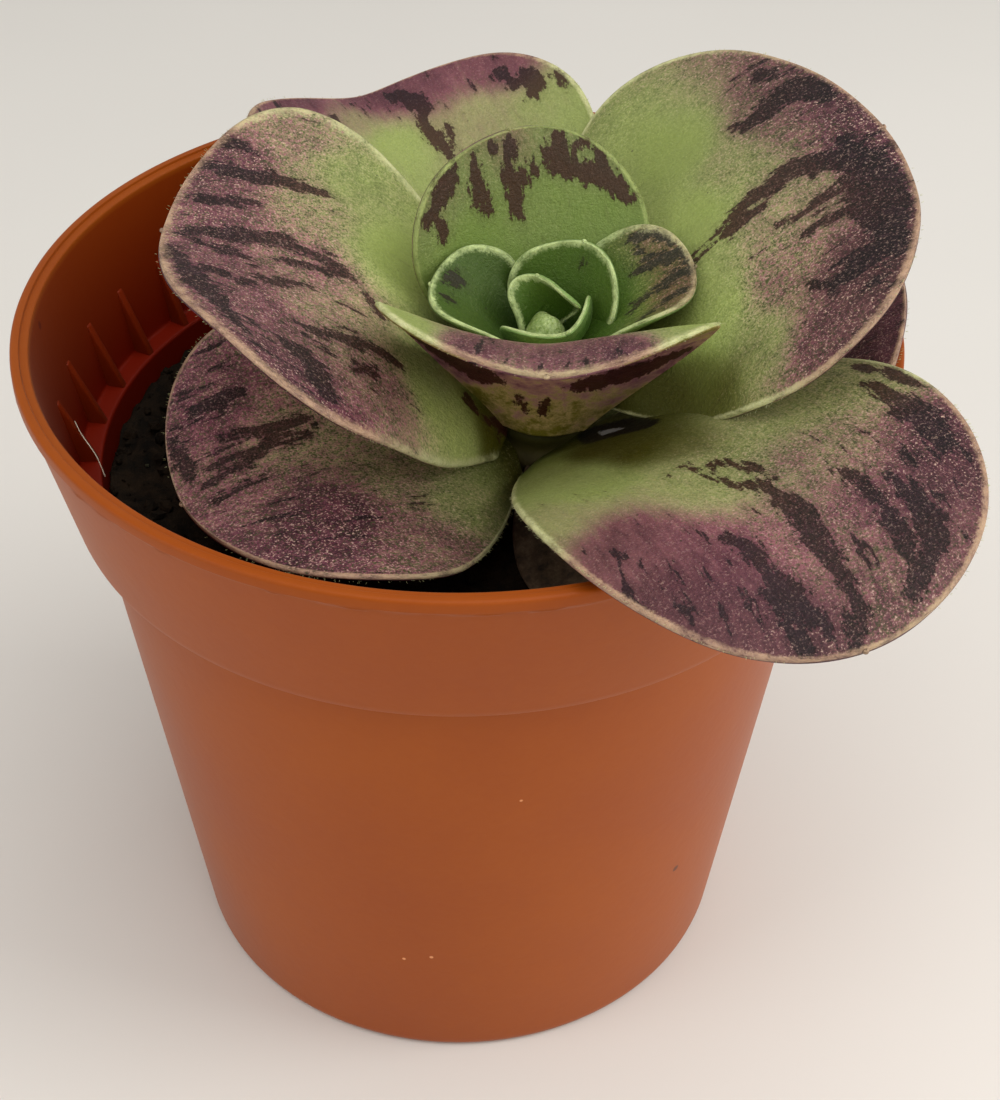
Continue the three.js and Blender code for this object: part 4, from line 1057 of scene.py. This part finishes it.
def add_margin_hairs(shape, leaf, seed):
    """Tiny pale hairs that stand out from the blade's margin."""
    draw = random.Random(100 + seed)
    part = bmesh.new()
    for side in (-1, 1):
        places = np.array([draw.uniform(*HAIR["along"]) for _ in range(leaf["hairs"] // 2)])
        edge = np.full(places.shape, float(side))
        point = middle_surface(leaf, places, edge)
        run = unit(middle_surface(leaf, places + 0.004, edge) - point)
        out = point - middle_surface(leaf, places, edge * 0.97)
        out = unit(out - run * (out * run).sum(-1, keepdims=True))
        for at, direction in zip(point, out):
            length = draw.uniform(*HAIR["length"])
            lean = Vector([draw.uniform(-HAIR["lean"], HAIR["lean"]) for _ in range(3)])
            heading = (Vector(direction) + lean).normalized()
            centre = Vector(at) + heading * (leaf["edge"] / 2 + length / 2 - HAIR["sunk"])
            matrix = Matrix.Translation(centre * MM) @ heading.to_track_quat("Z", "Y").to_matrix().to_4x4()
            bmesh.ops.create_cone(part, cap_ends=True, segments=3, radius1=HAIR["foot"] * MM,
                                  radius2=HAIR["tip"] * MM, depth=length * MM, matrix=matrix)
    store_facts(part, HAIR_FACTS, (0.0, 0.0, seed))
    join(shape, part)


def make_blades():
    skins = {"young_leaf": YOUNG_SKIN, "dry_leaf": DRY_SKIN}
    for seed, (name, blade) in enumerate(BLADES.items(), 1):
        shape = bmesh.new()
        add_blade(shape, blade, seed)
        slot = values_of(blade)["slot"]
        skin = UPRIGHT_SKIN if name == "leaf_upright_back" else skins.get(slot, BLADE_SKIN)
        finish_piece(name + "_blade", shape, skin, slot, name)


def make_heart():
    bottom, shoulder = HEART["bottom"], HEART["top"] - HEART["cap_height"]
    shape = bmesh.new()
    spin_profile(shape, rounded([
        (0, bottom),
        (HEART["foot_radius"], bottom, 0.3),
        (HEART["radius"], (bottom + shoulder) / 2, 0.4),
        (HEART["cap_radius"], shoulder, 0.4),
        (0, HEART["top"]),
    ]), 40, STEM["x"], STEM["y"])
    # the growing point is a little uneven, with the first folds of its next leaves
    for vertex in shape.verts:
        x, y = vertex.co.x / MM - STEM["x"], vertex.co.y / MM - STEM["y"]
        near = min(1, math.hypot(x, y) / HEART["radius"])
        fold = math.cos(3 * math.atan2(y, x) + 0.8) * near
        vertex.co.x = (STEM["x"] + x * (0.92 + 0.1 * fold)) * MM
        vertex.co.y = (STEM["y"] + y * (0.92 + 0.1 * fold)) * MM
        vertex.co.z += 0.25 * fold * (1 - near ** 4) * MM
    store_facts(shape, GROWING_POINT_FACTS, [(vertex.co / MM)[:] for vertex in shape.verts])
    for seed, blade in enumerate(HEART_BLADES, 21):
        add_blade(shape, blade, seed)
    finish_piece("heart", shape, YOUNG_SKIN, "young_leaf", "heart_bud")


def make_fibre(name, points, radius, slot):
    """A loose thin fibre through the points, in mm."""
    knots = [Vector(point) * MM for point in points]
    path = []
    for a, b, c, d in zip(knots[:1] + knots, knots, knots[1:], knots[2:] + knots[-1:]):
        path += [0.5 * (2 * b + (c - a) * f + (2 * a - 5 * b + 4 * c - d) * f * f + (3 * b - a - 3 * c + d) * f ** 3)
                 for f in (k / 6 for k in range(6))]
    path.append(knots[-1])
    shape = bmesh.new()
    ring = bmesh.ops.create_circle(shape, cap_ends=True, segments=6, radius=radius * MM)["verts"]
    turn = (path[1] - path[0]).to_track_quat("Z", "Y").to_matrix().to_4x4()
    bmesh.ops.transform(shape, matrix=Matrix.Translation(path[0]) @ turn, verts=ring)
    faces = list(shape.faces)
    for i in range(1, len(path)):
        grown = bmesh.ops.extrude_face_region(shape, geom=faces)["geom"]
        if i > 1:
            bmesh.ops.delete(shape, geom=faces, context="FACES_ONLY")
        faces = [g for g in grown if isinstance(g, bmesh.types.BMFace)]
        bmesh.ops.translate(shape, vec=path[i] - path[i - 1],
                            verts=[g for g in grown if isinstance(g, bmesh.types.BMVert)])
    bmesh.ops.recalc_face_normals(shape, faces=shape.faces)
    finish_piece(name, shape, PALE_HAIR, slot)


make_pot()
make_fins()
make_soil_body()
scatter("soil_crumbs", PEAT, 1500, 0.2, 1.2, 11)
scatter("soil_grit", GRIT, 60, 0.15, 0.5, 12)
make_stem()
make_blades()
make_heart()
make_fibre("wall_fibre", FIBRE, 0.05, "soil")


# ---- floor, light and camera

def make_floor():
    shape = bmesh.new()
    bmesh.ops.create_grid(shape, x_segments=1, y_segments=1, size=3.0)
    floor = make_object("floor", shape, FLOOR_PAINT, smooth=False)


def add_lamps():
    for name, (place, target, size, power, shade) in LAMPS.items():
        data = bpy.data.lights.new(name, "AREA")
        data.shape, data.energy, data.color = "RECTANGLE", power, shade
        data.size, data.size_y = size
        lamp = bpy.data.objects.new(name, data)
        bpy.context.collection.objects.link(lamp)
        lamp.location = place
        lamp.rotation_euler = (Vector(target) - Vector(place)).to_track_quat("-Z", "Y").to_euler()
    world = bpy.data.worlds.new("studio")
    world.use_nodes = True
    background = world.node_tree.nodes["Background"].inputs
    background["Color"].default_value = (0.98, 0.95, 0.9, 1)
    background["Strength"].default_value = 0.4
    bpy.context.scene.world = world
    bpy.context.scene.view_settings.view_transform = "Standard"


def add_camera():
    data = bpy.data.cameras.new("camera")
    data.lens, data.sensor_width, data.clip_start = CAMERA["lens"], 36, 0.01
    camera = bpy.data.objects.new("camera", data)
    bpy.context.collection.objects.link(camera)
    pan, tilt, roll = (CAMERA[k] * DEG for k in ("pan", "tilt", "roll"))
    forward = Vector((math.sin(pan) * math.cos(tilt), math.cos(pan) * math.cos(tilt), math.sin(tilt)))
    right = Vector((math.cos(pan), -math.sin(pan), 0))
    up = right.cross(forward)
    right, up = right * math.cos(roll) - up * math.sin(roll), right * math.sin(roll) + up * math.cos(roll)
    matrix = Matrix((right, up, -forward)).transposed().to_4x4()
    matrix.translation = Vector(CAMERA["place"])
    camera.matrix_world = matrix
    bpy.context.scene.camera = camera


make_floor()
add_lamps()
add_camera()
